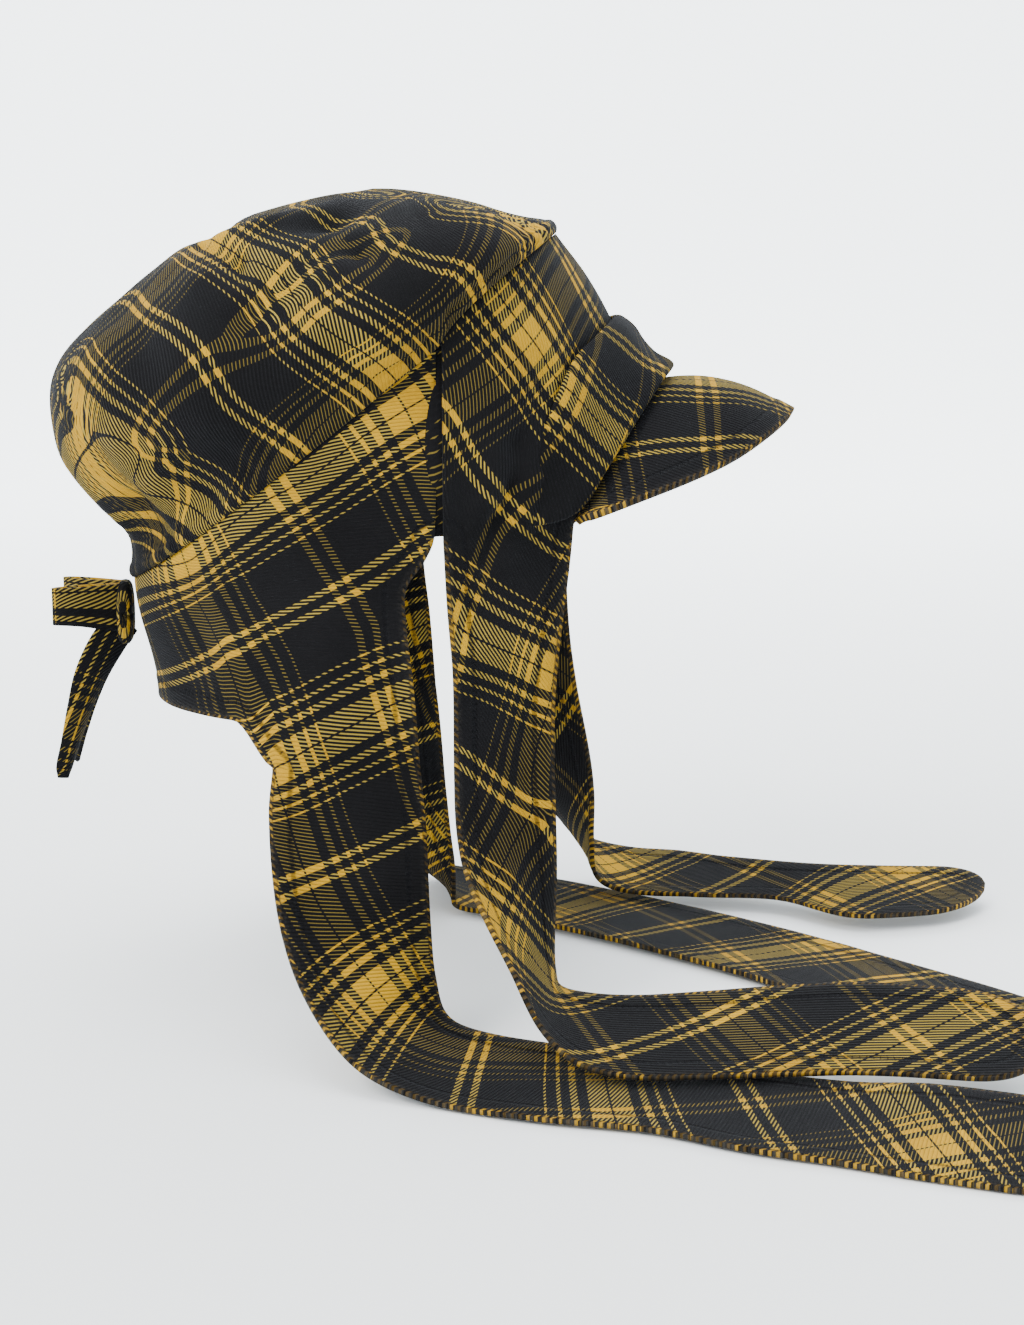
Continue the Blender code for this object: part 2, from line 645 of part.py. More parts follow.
def build_loop(side, material):
    """A loop of the bow: a flat ring of the strip that stands out from the knot."""
    start, away = bow_frame(side)
    across = Vector((-away.y, away.x, 0.0))
    rows = []
    for angle in spread(15, 0.0, 2.0 * math.pi)[:-1]:
        along = BOW_LOOP_LENGTH * (1.0 - math.cos(angle)) / 2
        thick = BOW_LOOP_THICKNESS / 2 * math.sin(angle) * (0.55 + 0.45 * along / BOW_LOOP_LENGTH)
        place = start + away * along + across * thick
        place.z += BOW_STRIP * LOOP_LIFT
        rows.append([place + Vector((0.0, 0.0, BOW_STRIP * (k - 0.5))) for k in spread(4)])
    name = "back_bow_" + ("right" if side == RIGHT else "left") + "_loop"
    return add_sheet(name, [rows], BOW_WALL, material, closed_ring=True)


def build_tail(side, material):
    """A tail of the bow, hanging down behind the nape."""
    start, away = bow_frame(side)
    start.z += BOW_STRIP * (LOOP_LIFT - 0.5) - BOW_STRIP * 0.41

    def middle(at):
        back = away * smooth(BOW_TAIL, "back", at)
        return start + (back - Vector((0.0, 0.0, smooth(BOW_TAIL, "down", at)))) * BOW_TAIL_LENGTH

    rows = []
    for at in spread(12):
        along = (middle(min(at + 0.02, 1.0)) - middle(max(at - 0.02, 0.0))).normalized()
        turn = math.radians(smooth(BOW_TAIL, "turn", at))
        way = Vector((-math.cos(turn), side * math.sin(turn), 0.0))
        way = (way - along * way.dot(along)).normalized()
        width = BOW_STRIP * smooth(BOW_TAIL, "width", at)
        rows.append([middle(at) + way * width * (share - 0.5) for share in spread(4)])
    name = "back_bow_" + ("right" if side == RIGHT else "left") + "_tail"
    return add_sheet(name, [rows], BOW_WALL, material)


def clear_scene():
    """Remove what the scene holds."""
    for item in list(bpy.data.objects):
        bpy.data.objects.remove(item, do_unlink=True)


def main():
    clear_scene()
    colors = {
        "crown": (0.055, 0.055, 0.050),
        "front_panel": (0.075, 0.068, 0.045),
        "cuff": (0.090, 0.080, 0.045),
        "peak": (0.050, 0.050, 0.048),
        "flap": (0.065, 0.060, 0.045),
        "front_tie": (0.070, 0.064, 0.046),
        "bow": (0.085, 0.075, 0.042),
    }
    cloth = {name: cloth_material(name + "_cloth", color, 0.85) for name, color in colors.items()}
    build_crown(cloth["crown"])
    build_front_panel(cloth["front_panel"])
    build_cuff(cloth["cuff"])
    build_peak(cloth["peak"])
    build_flap(RIGHT, REAR_TIE_RIGHT, cloth["flap"])
    build_flap(LEFT, REAR_TIE_LEFT, cloth["flap"])
    build_front_tie(RIGHT, FRONT_TIE_RIGHT, cloth["front_tie"])
    build_front_tie(LEFT, FRONT_TIE_LEFT, cloth["front_tie"])
    build_knot(cloth["bow"])
    for side in (RIGHT, LEFT):
        build_loop(side, cloth["bow"])
        build_tail(side, cloth["bow"])


main()
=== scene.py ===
"""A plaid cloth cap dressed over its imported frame: crown, front band, cuff, peak, flaps and bow.

The panel in the 3D view's sidebar lists one operator for each group of pieces. Lengths are in
metres; the cloth's own measures, which place its stripes and folds, are in millimetres.
"""

import math
from collections import namedtuple
from itertools import combinations

import bpy
import numpy as np
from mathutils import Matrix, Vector, kdtree, noise


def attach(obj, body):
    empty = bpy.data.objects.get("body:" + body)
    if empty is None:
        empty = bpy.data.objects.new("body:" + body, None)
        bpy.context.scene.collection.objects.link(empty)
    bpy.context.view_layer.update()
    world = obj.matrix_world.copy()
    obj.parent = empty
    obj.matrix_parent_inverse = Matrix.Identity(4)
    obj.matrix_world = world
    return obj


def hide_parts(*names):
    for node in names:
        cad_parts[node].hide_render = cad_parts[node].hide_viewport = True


bl_info = {
    "name": "Plaid cap",
    "version": (1, 0, 0),
    "blender": (4, 5, 0),
    "location": "View3D > Sidebar > Plaid cap",
    "description": "Builds a plaid cloth cap with side flaps, long ties and a back bow",
    "category": "Object",
}

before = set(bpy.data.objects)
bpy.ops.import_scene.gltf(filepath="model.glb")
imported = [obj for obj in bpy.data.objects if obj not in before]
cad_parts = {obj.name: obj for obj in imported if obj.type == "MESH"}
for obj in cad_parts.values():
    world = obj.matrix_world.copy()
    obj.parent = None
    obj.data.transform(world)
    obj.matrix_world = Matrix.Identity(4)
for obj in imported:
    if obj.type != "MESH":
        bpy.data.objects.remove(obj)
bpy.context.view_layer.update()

# Cloth walls and the gap that is left where two pieces are sewn together
CLOTH_WALL = 0.0020
CUFF_WALL = 0.0014
PEAK_WALL = 0.0030
BOW_WALL = 0.0016
SEAM_GAP = 0.0007

# Head opening
AXIS_X = -0.008
HEAD_BACK = 0.101
HEAD_SIDE = 0.084
HEAD_ROUNDNESS = 2.2

# Seam between the crown and the bands
SEAM_BACK_Z = -0.011
SEAM_SIDE_X = 0.020
SEAM_SIDE_Z = 0.087
SEAM_SIDE_Y = 0.0805
SEAM_FRONT_X = 0.066
SEAM_FRONT_Z = 0.130
SEAM_SAG = 1.10

# Crown
CROWN_TOP_Z = 0.147

# Front panel: its hem runs from the temples up over the forehead
HEM_FRONT_X = 0.100
HEM_FRONT_Z = 0.068
HEM_SIDE_Z = 0.012
TEMPLE_HALF_WIDTH = 0.058
PANEL_BULGE = 0.004

# Forehead cuff, a pleat of the front panel
CUFF_PROUD = 0.0150
CUFF_EASE = 0.045

# Peak
PEAK_LENGTH = 0.094
PEAK_HALF_WIDTH = 0.066
PEAK_TIP_Z = 0.0575
PEAK_CORNER_Z = 0.0125
PEAK_CROWNING = 0.007

# Side flaps
FLAP_BACK_Z = -0.059
FLAP_STRAP_Z = -0.077
FLAP_STRAP_REAR_X = -0.046
FLAP_NAPE_TUCK = 0.009
FLAP_FLARE = 0.004

# Long ties: how far they drop below the ears and reach forward, and their widths
TIE_DROP = 0.188
TIE_REACH = 0.280
TIE_SPREAD = 0.200
REAR_TIE_WIDTH = 0.063
FRONT_TIE_WIDTH = 0.050
TIE_POINT = 0.030

# Back bow
BOW_STRIP = 0.018
BOW_LOOP_LENGTH = 0.030
BOW_LOOP_THICKNESS = 0.007
BOW_TAIL_LENGTH = 0.078
BOW_SPLAY = 26.0
LOOP_LIFT = 0.28
KNOT_HEIGHT = 0.028
KNOT_WIDTH = 0.015
KNOT_DEPTH = 0.0055
BOW_Z = -0.0270

# Crown section, from its seam (at 0) to its middle (at 1). "out" is a share of the seam's
# distance from the axis and "up" a share of the rise, to the back, the side and the front.
CrownRow = namedtuple("CrownRow", "at back_out back_up side_out side_up front_out front_up")
CROWN_SECTION = (
    CrownRow(0.00, 1.000, 0.000, 1.000, 0.000, 1.000, 0.000),
    CrownRow(0.09, 1.030, 0.108, 1.050, 0.110, 0.975, 0.200),
    CrownRow(0.18, 1.160, 0.190, 1.110, 0.230, 0.920, 0.300),
    CrownRow(0.27, 1.280, 0.304, 1.130, 0.360, 0.840, 0.360),
    CrownRow(0.36, 1.317, 0.449, 1.100, 0.500, 0.760, 0.430),
    CrownRow(0.45, 1.277, 0.557, 1.020, 0.630, 0.670, 0.530),
    CrownRow(0.54, 1.149, 0.652, 0.900, 0.740, 0.570, 0.640),
    CrownRow(0.63, 0.930, 0.775, 0.760, 0.830, 0.460, 0.750),
    CrownRow(0.72, 0.743, 0.861, 0.620, 0.890, 0.360, 0.840),
    CrownRow(0.80, 0.600, 0.905, 0.480, 0.935, 0.270, 0.900),
    CrownRow(0.87, 0.440, 0.943, 0.340, 0.965, 0.180, 0.950),
    CrownRow(0.94, 0.230, 0.978, 0.170, 0.990, 0.090, 0.985),
    CrownRow(1.00, 0.000, 1.000, 0.000, 1.000, 0.000, 1.000),
)

# Dents in the crown: where (degrees from the front, to the wearer's right if negative, and
# share up the section), how wide in both, and how deep as a share of the crown's rise.
Dent = namedtuple("Dent", "turn at turn_width at_width depth")
CROWN_DENTS = (
    Dent(-168.0, 0.775, 26.0, 0.040, 0.045),
    Dent(-104.0, 0.700, 12.0, 0.070, 0.040),
    Dent(-114.0, 0.430, 14.0, 0.110, 0.035),
    Dent(-150.0, 0.130, 9.0, 0.120, 0.030),
    Dent(-128.0, 0.120, 7.0, 0.100, 0.022),
    Dent(120.0, 0.640, 16.0, 0.080, 0.035),
    Dent(146.0, 0.140, 10.0, 0.120, 0.028),
)

# Hem of the front panel, from the forehead (at 0) to the seam with the side flap (at 1).
# "forward" runs from the side seam to the forehead, "aside" is a share of the temple's half
# width and "up" of the hem's rise.
HemRow = namedtuple("HemRow", "at forward aside up")
PANEL_HEM = (
    HemRow(0.00, 1.000, 0.000, 1.000),
    HemRow(0.17, 0.968, 0.300, 0.910),
    HemRow(0.33, 0.888, 0.590, 0.660),
    HemRow(0.50, 0.775, 0.830, 0.357),
    HemRow(0.65, 0.650, 1.000, 0.071),
    HemRow(0.80, 0.430, 1.170, 0.020),
    HemRow(1.00, 0.000, 1.390, 0.000),
)

# Cuff: where its upper edge lies down the panel, and how far it stands out, from the
# forehead (at 0) to where it is pinched into the front tie.
CuffRow = namedtuple("CuffRow", "at down proud")
CUFF_RUN = (
    CuffRow(0.00, 0.580, 1.00),
    CuffRow(0.17, 0.565, 0.76),
    CuffRow(0.33, 0.525, 0.50),
    CuffRow(0.50, 0.505, 0.38),
    CuffRow(0.65, 0.590, 0.33),
    CuffRow(0.79, 0.850, 0.30),
)

# Section of the cuff: down the panel from its upper edge to the hem, and out from the panel
CuffSection = namedtuple("CuffSection", "at down out")
CUFF_SECTION = (
    CuffSection(0.00, 0.000, 0.02),
    CuffSection(0.10, 0.040, 0.16),
    CuffSection(0.25, 0.220, 0.36),
    CuffSection(0.45, 0.450, 0.46),
    CuffSection(0.62, 0.680, 0.66),
    CuffSection(0.74, 0.840, 0.94),
    CuffSection(0.82, 0.915, 1.00),
    CuffSection(0.90, 0.950, 0.86),
    CuffSection(1.00, 0.945, 0.50),
)

# Front edge of the side flap, from its seam with the front panel down the rear tie
EdgeRow = namedtuple("EdgeRow", "at x")
FLAP_FRONT_EDGE = (
    EdgeRow(0.00, 1.00),
    EdgeRow(0.44, 0.96),
    EdgeRow(0.50, 0.76),
    EdgeRow(0.56, 0.42),
    EdgeRow(0.64, 0.40),
    EdgeRow(0.80, 0.54),
    EdgeRow(1.00, 0.66),
)

# Long ties, from the cap (at 0) to the point (at 1). "x" is a share of the reach, "y" of the
# spread and "z" of the drop below the ears; "turn" is the way the strip faces in plan and
# "rise" the tilt of its front edge, in degrees.
TieRow = namedtuple("TieRow", "at x y z width turn rise")
REAR_TIE_RIGHT = (
    TieRow(0.00, -0.060, 0.430, -0.415, 0.96, -4.0, 0.0),
    TieRow(0.07, -0.057, 0.460, -0.520, 1.00, 3.0, -4.0),
    TieRow(0.16, -0.043, 0.510, -0.700, 0.96, 16.0, -6.0),
    TieRow(0.22, -0.021, 0.555, -0.825, 0.92, 33.0, -3.0),
    TieRow(0.28, 0.022, 0.600, -0.925, 0.90, 56.0, 4.0),
    TieRow(0.34, 0.090, 0.640, -0.965, 0.92, 76.0, 7.0),
    TieRow(0.44, 0.215, 0.705, -0.972, 0.95, 84.0, 5.5),
    TieRow(0.56, 0.365, 0.755, -0.977, 0.96, 82.0, 3.5),
    TieRow(0.67, 0.490, 0.835, -0.978, 0.99, 79.0, 3.5),
    TieRow(0.78, 0.605, 0.892, -0.977, 1.00, 78.0, 4.0),
    TieRow(0.88, 0.705, 0.950, -0.968, 1.00, 76.0, 8.0),
    TieRow(1.00, 0.900, 1.045, -0.968, 1.00, 74.0, 8.0),
)
FRONT_TIE_RIGHT = (
    TieRow(0.00, 0.162, 0.345, 0.070, 1.00, 20.0, 2.0),
    TieRow(0.07, 0.162, 0.372, -0.060, 0.93, 20.0, 0.0),
    TieRow(0.15, 0.164, 0.395, -0.230, 0.84, 20.0, -1.0),
    TieRow(0.24, 0.165, 0.425, -0.415, 0.84, 22.0, -5.0),
    TieRow(0.31, 0.168, 0.448, -0.540, 0.88, 27.0, -12.0),
    TieRow(0.36, 0.175, 0.472, -0.635, 0.92, 39.0, -15.0),
    TieRow(0.41, 0.188, 0.498, -0.725, 0.92, 54.0, -18.0),
    TieRow(0.46, 0.205, 0.530, -0.805, 0.92, 68.0, -16.0),
    TieRow(0.51, 0.228, 0.575, -0.868, 0.94, 80.0, 0.0),
    TieRow(0.57, 0.275, 0.612, -0.900, 0.98, 82.0, 12.0),
    TieRow(0.63, 0.345, 0.632, -0.908, 1.00, 82.0, 17.0),
    TieRow(0.70, 0.430, 0.632, -0.904, 1.00, 84.0, 19.0),
    TieRow(0.80, 0.550, 0.628, -0.896, 1.02, 84.0, 20.0),
    TieRow(0.90, 0.675, 0.624, -0.894, 1.04, 83.0, 20.0),
    TieRow(1.00, 0.895, 0.640, -0.912, 1.06, 84.0, 18.0),
)
REAR_TIE_LEFT = (
    TieRow(0.00, -0.060, 0.430, -0.415, 0.96, -4.0, 0.0),
    TieRow(0.07, -0.057, 0.460, -0.520, 1.00, 3.0, -4.0),
    TieRow(0.15, -0.043, 0.510, -0.700, 0.98, 14.0, -5.0),
    TieRow(0.21, -0.021, 0.550, -0.840, 0.96, 30.0, -3.0),
    TieRow(0.27, 0.025, 0.580, -0.940, 0.96, 62.0, 0.0),
    TieRow(0.33, 0.095, 0.565, -0.978, 0.98, 98.0, 0.0),
    TieRow(0.42, 0.210, 0.490, -0.982, 1.00, 124.0, 0.0),
    TieRow(0.54, 0.375, 0.330, -0.984, 1.00, 134.0, 0.0),
    TieRow(0.70, 0.568, 0.100, -0.984, 1.00, 140.0, 0.0),
    TieRow(0.84, 0.768, -0.190, -0.984, 1.00, 142.0, 0.0),
    TieRow(1.00, 0.960, -0.490, -0.984, 1.00, 142.0, 0.0),
)
FRONT_TIE_LEFT = (
    TieRow(0.00, 0.162, 0.345, 0.070, 1.00, 20.0, 2.0),
    TieRow(0.07, 0.172, 0.375, -0.060, 0.94, 20.0, 0.0),
    TieRow(0.15, 0.190, 0.405, -0.230, 0.88, 18.0, 0.0),
    TieRow(0.24, 0.212, 0.435, -0.415, 0.86, 20.0, -3.0),
    TieRow(0.31, 0.232, 0.462, -0.540, 0.88, 28.0, -6.0),
    TieRow(0.38, 0.255, 0.495, -0.670, 0.92, 46.0, -6.0),
    TieRow(0.44, 0.277, 0.527, -0.790, 0.95, 66.0, -6.0),
    TieRow(0.50, 0.310, 0.555, -0.888, 0.98, 84.0, -8.0),
    TieRow(0.56, 0.375, 0.572, -0.930, 1.00, 92.0, -9.0),
    TieRow(0.65, 0.480, 0.570, -0.940, 1.00, 84.0, -9.0),
    TieRow(0.74, 0.590, 0.530, -0.940, 1.00, 68.0, -8.0),
    TieRow(0.84, 0.725, 0.410, -0.935, 1.02, 84.0, -11.0),
    TieRow(0.92, 0.850, 0.420, -0.940, 1.04, 98.0, -9.0),
    TieRow(1.00, 0.990, 0.480, -0.950, 1.04, 104.0, -6.0),
)

# Tail of the bow: down and out from the knot, how far the strip is turned
TailRow = namedtuple("TailRow", "at back down width turn")
BOW_TAIL = (
    TailRow(0.00, -0.04, -0.10, 0.80, 30.0),
    TailRow(0.14, 0.06, 0.01, 0.92, 36.0),
    TailRow(0.34, 0.16, 0.17, 0.88, 42.0),
    TailRow(0.54, 0.23, 0.35, 0.72, 48.0),
    TailRow(0.76, 0.29, 0.54, 0.56, 52.0),
    TailRow(0.92, 0.33, 0.67, 0.50, 56.0),
    TailRow(1.00, 0.34, 0.72, 0.30, 58.0),
)

RIGHT = -1
LEFT = 1

# Which way the bright stripes run on each piece's flat pattern, in degrees from its s line
WEAVE_TURNS = {
    "crown_cloth": -52.0,
    "front_band": -50.0,
    "cuff_cloth": -50.0,
    "right_flap_cloth": 29.0,
    "left_flap_cloth": -29.0,
    "peak_cloth": 0.0,
}

# Where stripes cross a piece: "u" counts across the bright stripes and "v" across the olive
# ones, in millimetres of cloth, and x, y, z is the place, in millimetres.
Mark = namedtuple("Mark", "piece kind value x y z")
MARK_ROWS = (
    ("crown_cloth", "u", (
        (0, -93, -29, 115), (0, -77, -75, 99), (0, -64, -87, 81), (0, -51, -89, 63),
        (0, -34, -82, 44), (50, -59, -50, 126), (50, -26, -89, 101), (50, -11, -93, 91),
        (50, 2, -86, 80), (100, -47, -30, 136), (100, 4, -76, 126), (100, 18, -87, 114),
        (100, 32, -81, 105), (150, -17, -34, 142), (150, 22, -66, 134), (150, 59, -46, 127),
        (-50, -121, -42, 86), (-50, -120, -58, 64), (-50, -98, -74, 53), (-50, -72, -69, 17),
    )),
    ("crown_cloth", "v", (
        (0, 5, -79, 124), (0, -6, -89, 110), (0, -26, -89, 101), (0, -40, -90, 88),
        (0, -60, -86, 86), (0, -84, -83, 69), (0, -101, -72, 54), (0, -114, -59, 43),
        (-50, -78, -49, 117), (50, 2, -86, 80), (50, -18, -85, 62), (50, -41, -82, 45),
        (50, -79, -65, 13),
    )),
    ("right_flap_cloth", "u", (
        (0, 17, -82, 13), (0, -14, -84, -3), (0, -50, -80, -24), (0, -97, -27, -54),
        (-50, 11, -84, -46), (-50, -18, -86, -63), (-50, -45, -84, -81), (-100, 15, -88, -100),
        (-100, -14, -95, -110), (-100, -43, -104, -117), (50, 20, -81, 70), (50, -26, -82, 39),
        (50, -77, -65, 6),
    )),
    ("right_flap_cloth", "v", (
        (-50, -81, -62, -12), (-50, -54, -78, -61), (-50, -44, -89, -89), (0, -28, -82, 18),
        (0, -6, -84, -13), (0, 7, -87, -88), (50, 9, -82, 70),
    )),
    ("front_band", "u", (
        (50, 41, -75, 109), (50, 50, -71, 95), (50, 61, -65, 82), (0, 23, -84, 60),
        (0, 35, -80, 42), (0, 50, -71, 23), (0, 66, -63, 8), (100, 66, -20, 127),
        (100, 74, -32, 110), (100, 80, -37, 90),
    )),
    ("front_band", "v", (
        (-50, 53, -72, 82), (-50, 43, -78, 73), (-50, 63, -61, 91), (0, 55, -71, 36),
        (0, 47, -73, 27), (0, 37, -78, -4), (0, 28, -85, -38),
    )),
    ("front_band", "u", (
        (-50, 24, -84, -14), (-50, 32, -83, -29), (-100, 27, -90, -65), (-100, 44, -87, -82),
        (-100, 62, -81, -100),
    )),
    ("front_band", "v", (
        (50, 62, -72, -34), (50, 54, -80, -67), (50, 59, -83, -98),
    )),
    ("cuff_cloth", "u", (
        (100, 84, -36, 90), (100, 95, -28, 82), (100, 108, -20, 74), (50, 70, -63, 72),
        (50, 80, -55, 63), (50, 92, -46, 54),
    )),
    ("cuff_cloth", "v", (
        (0, 70, -64, 68),
    )),
    ("peak_cloth", "u", (
        (50, 102, -4, 68), (50, 132, -21, 65), (50, 160, -5, 60), (0, 92, -40, 45),
        (0, 116, -44, 48), (0, 143, -36, 52),
    )),
    ("peak_cloth", "v", (
        (0, 128, -27, 62), (0, 131, -45, 46),
    )),
)
MARKS = [Mark(piece, kind, *row) for piece, kind, rows in MARK_ROWS for row in rows]

# How far round a mark the cloth is shifted with it, in millimetres
MARK_REACH = 13.0
MARK_HOLD = 3.0

# How often the lengths are evened out
LAYING_ROUNDS = 60

# The crown's stiffness against stretching: less on the far side, more in its short lengths in front
FAR_SIDE_FROM = 12.0
FAR_SIDE_STIFFNESS = 0.45
FRONT_FROM = 30.0
FRONT_STIFFNESS_LIMIT = 5.0

# How firmly the crown keeps to its first layout away from its marks, and from how far off
UNMARKED_HOLD = 0.5
UNMARKED_REACH = 42.0

# Folds and hollows: a line from one place to another, how wide the fold is beside it and how
# far it stands out (in, if negative), in millimetres.
Fold = namedtuple("Fold", "piece start end width height")
FOLD_ROWS = (
    ("crown_cloth", (
        ((-124, -16, 26), (-118, -16, 8), 15.0, -2.8),
        ((-73, -38, 124), (-57, -64, 119), 5.0, -3.2),
        ((-57, -64, 119), (-54, -72, 113), 5.0, -3.2),
        ((-68, -39, 126), (-48, -46, 132), 8.0, 1.6),
        ((-48, -46, 132), (-25, -44, 136), 8.0, 1.6),
        ((-81, -43, 117), (-70, -67, 111), 8.0, 1.4),
        ((-70, -67, 111), (-57, -77, 106), 8.0, 1.4),
        ((-10, -78, 122), (-10, -78, 122), 7.0, -2.8),
        ((-10, -78, 122), (-22, -51, 131), 3.5, -1.2),
        ((-10, -78, 122), (-2, -85, 117), 3.5, -1.0),
        ((-14, -80, 118), (-25, -84, 109), 6.0, 1.2),
        ((-40, -90, 88), (-40, -90, 88), 20.0, -2.4),
        ((-30, -91, 93), (-15, -93, 86), 5.0, -1.3),
        ((-15, -93, 86), (-2, -87, 79), 5.0, -1.3),
        ((-22, -92, 96), (-6, -93, 93), 6.0, 1.2),
        ((-6, -93, 93), (6, -88, 86), 6.0, 1.2),
        ((-114, -59, 43), (-98, -56, 26), 6.0, -1.8),
        ((-98, -56, 26), (-91, -52, 7), 6.0, -1.8),
        ((-103, -70, 48), (-90, -67, 32), 6.0, 1.4),
        ((-90, -67, 32), (-79, -65, 15), 6.0, 1.4),
        ((-120, -41, 29), (-108, -40, 17), 5.0, 1.2),
        ((-108, -40, 17), (-100, -39, 0), 5.0, 1.2),
        ((-67, -76, 40), (-57, -77, 33), 5.0, 1.0),
        ((-57, -77, 33), (-54, -77, 29), 5.0, 1.0),
        ((-60, -82, 47), (-52, -79, 38), 4.0, -1.1),
        ((-52, -79, 38), (-46, -79, 34), 4.0, -1.1),
        ((-43, -87, 57), (-35, -84, 50), 5.0, 0.9),
        ((-35, -84, 50), (-31, -82, 47), 5.0, 0.9),
        ((-104, -47, 99), (-94, -71, 91), 9.0, -1.5),
        ((-94, -71, 91), (-89, -79, 81), 9.0, -1.5),
    )),
    ("front_band", (
        ((62, -66, 76), (51, -74, 50), 5.0, -1.6),
        ((51, -74, 50), (49, -73, 32), 5.0, -1.6),
        ((49, -73, 32), (42, -74, 20), 4.0, -2.4),
        ((42, -74, 20), (37, -76, 5), 4.0, -2.4),
        ((43, -77, 41), (39, -76, 26), 6.0, 1.6),
        ((39, -76, 26), (32, -77, 9), 6.0, 1.6),
        ((57, -70, 36), (53, -70, 20), 5.0, 1.8),
        ((53, -70, 20), (46, -73, 3), 5.0, 1.8),
        ((34, -79, -4), (32, -83, -34), 8.0, 0.9),
        ((32, -83, -34), (36, -87, -66), 8.0, 0.9),
        ((55, -76, -47), (55, -82, -82), 5.0, -1.0),
        ((55, -82, -82), (56, -87, -113), 5.0, -1.0),
        ((38, -91, -89), (46, -96, -118), 6.0, 1.1),
        ((46, -96, -118), (55, -102, -144), 6.0, 1.1),
    )),
    ("right_flap_cloth", (
        ((-81, -62, -2), (-74, -68, -29), 10.0, -1.2),
        ((-74, -68, -29), (-78, -62, -49), 10.0, -1.2),
        ((-38, -84, -65), (-20, -86, -61), 14.0, 1.3),
        ((-20, -86, -61), (4, -84, -26), 14.0, 1.3),
        ((-33, -93, -96), (-29, -104, -125), 9.0, -1.2),
        ((-29, -104, -125), (-18, -117, -152), 9.0, -1.2),
        ((-3, -89, -90), (-2, -97, -126), 9.0, 1.0),
        ((-2, -97, -126), (5, -104, -156), 9.0, 1.0),
        ((6, -83, -6), (-1, -85, -27), 8.0, -1.2),
        ((-1, -85, -27), (2, -85, -51), 8.0, -1.2),
    )),
)
FOLDS = [Fold(piece, *row) for piece, rows in FOLD_ROWS for row in rows]

# How far the crown's edge stands off its seam
SEAM_OPENING = 0.0004

# The share of the panel's half width from which it runs out into the front ties
TEMPLE_SHARE = 0.65

# Where the cuff starts to die away into the panel, and how far it sinks
CUFF_DYING = 0.56
CUFF_SINK = 0.0046

# How much higher the corners of the dressed peak sit than the plain one's
CORNER_LIFT = 0.0060

# Above this height, falling towards the back, an edge is sewn and has no hem
SEWN_ABOVE_SIDE = 0.0125
SEWN_SLOPE = 0.33
FAR_FROM_HEM = 50.0

# Where in the pattern the bow's strip is cut, and how far before it the tails and tapes are, in
# millimetres
STRIP_START = 34.0
TAIL_START = 13.0
TAPE_START = 24.0

# How far a loop's lower edge sinks towards the knot, and its height beside the strip's width
LOOP_DROOP = 0.0050
LOOP_HEIGHT = 0.84

# How far the loops reach into the knot, and how plump the dressed knot is beside the plain one
LOOP_TUCK = 0.0030
KNOT_PLUMP = 1.4
KNOT_SPREAD = 0.62
KNOT_INSET = 0.0012

# How far round the head the dressed bow sits from the plain one, in degrees
BOW_TURN = 3.0

# Tapes behind the seams: how far in from the cloth's middle they lie, and their thickness
TAPE_DEPTH = 0.0019
TAPE_WALL = 0.0008
BACK_TAPE_SHARE = 0.035

# Stripes of the plaid from the middle of a pair, in millimetres: where one starts and stops
STRIPES = ((1.6, 4.2), (27.1, 27.9), (31.6, 33.0), (36.2, 38.8), (42.4, 49.45))
SETT = 100.0

# How finely the cloth is cut
CROWN_COLUMNS = 60
CROWN_ROWS = 85
PANEL_COLUMNS = 60
PANEL_ROWS = 40
BAND_ROWS = 60
BAND_COLUMNS = 66
STRAP_COLUMNS = 26
STRAP_ROWS = 170
CUFF_COLUMNS = 120
CUFF_ROWS = 36
PEAK_COLUMNS = 110
PEAK_ROWS = 44

# A point of a piece of cloth: its place and where it lies on the flat pattern, in millimetres
Spot = namedtuple("Spot", "place s t")


def smooth(rows, name, at):
    """The value of a table's column at a place along it, on a smooth curve through its rows."""
    last = len(rows) - 1
    at = min(max(at, rows[0].at), rows[last].at)
    index = 0
    while index < last - 1 and at > rows[index + 1].at:
        index += 1

    def slope(k):
        low = max(k - 1, 0)
        high = min(k + 1, last)
        rise = getattr(rows[high], name) - getattr(rows[low], name)
        return rise / (rows[high].at - rows[low].at)

    step = rows[index + 1].at - rows[index].at
    t = (at - rows[index].at) / step
    start = getattr(rows[index], name)
    end = getattr(rows[index + 1], name)
    return (
        start * (2 * t ** 3 - 3 * t ** 2 + 1)
        + slope(index) * step * (t ** 3 - 2 * t ** 2 + t)
        + end * (3 * t ** 2 - 2 * t ** 3)
        + slope(index + 1) * step * (t ** 3 - t ** 2)
    )


def ease(t):
    """A smooth step from 0 to 1."""
    t = min(max(t, 0.0), 1.0)
    return t * t * (3.0 - 2.0 * t)


def spread(count, start=0.0, end=1.0):
    """Evenly spaced values from start to end."""
    return [start + (end - start) * k / (count - 1) for k in range(count)]


def side_plan(share, side_reach, tuck):
    """A place on the head's outline, from the centre back (0) to the front edge of a flap (1)."""
    back = HEAD_BACK - tuck
    end = math.acos(max(-1.0, min(1.0, (AXIS_X - side_reach) / (HEAD_BACK + 0.3 * HEAD_SIDE))))
    angle = share * end
    power = 2.0 / HEAD_ROUNDNESS
    away = math.cos(angle)
    ahead = (HEAD_BACK + 0.3 * HEAD_SIDE) if away < 0 else back
    x = AXIS_X - ahead * math.copysign(abs(away) ** (power if away > 0 else 1.0), away)
    return x, HEAD_SIDE * math.sin(angle) ** power


def seam_height(x):
    """Height of the seam over the side flap, from the centre back to the front panel."""
    back_x = AXIS_X - HEAD_BACK
    share = min(max((x - back_x) / (SEAM_SIDE_X - back_x), 0.0), 1.0)
    return SEAM_BACK_Z + (SEAM_SIDE_Z - SEAM_BACK_Z) * share ** SEAM_SAG


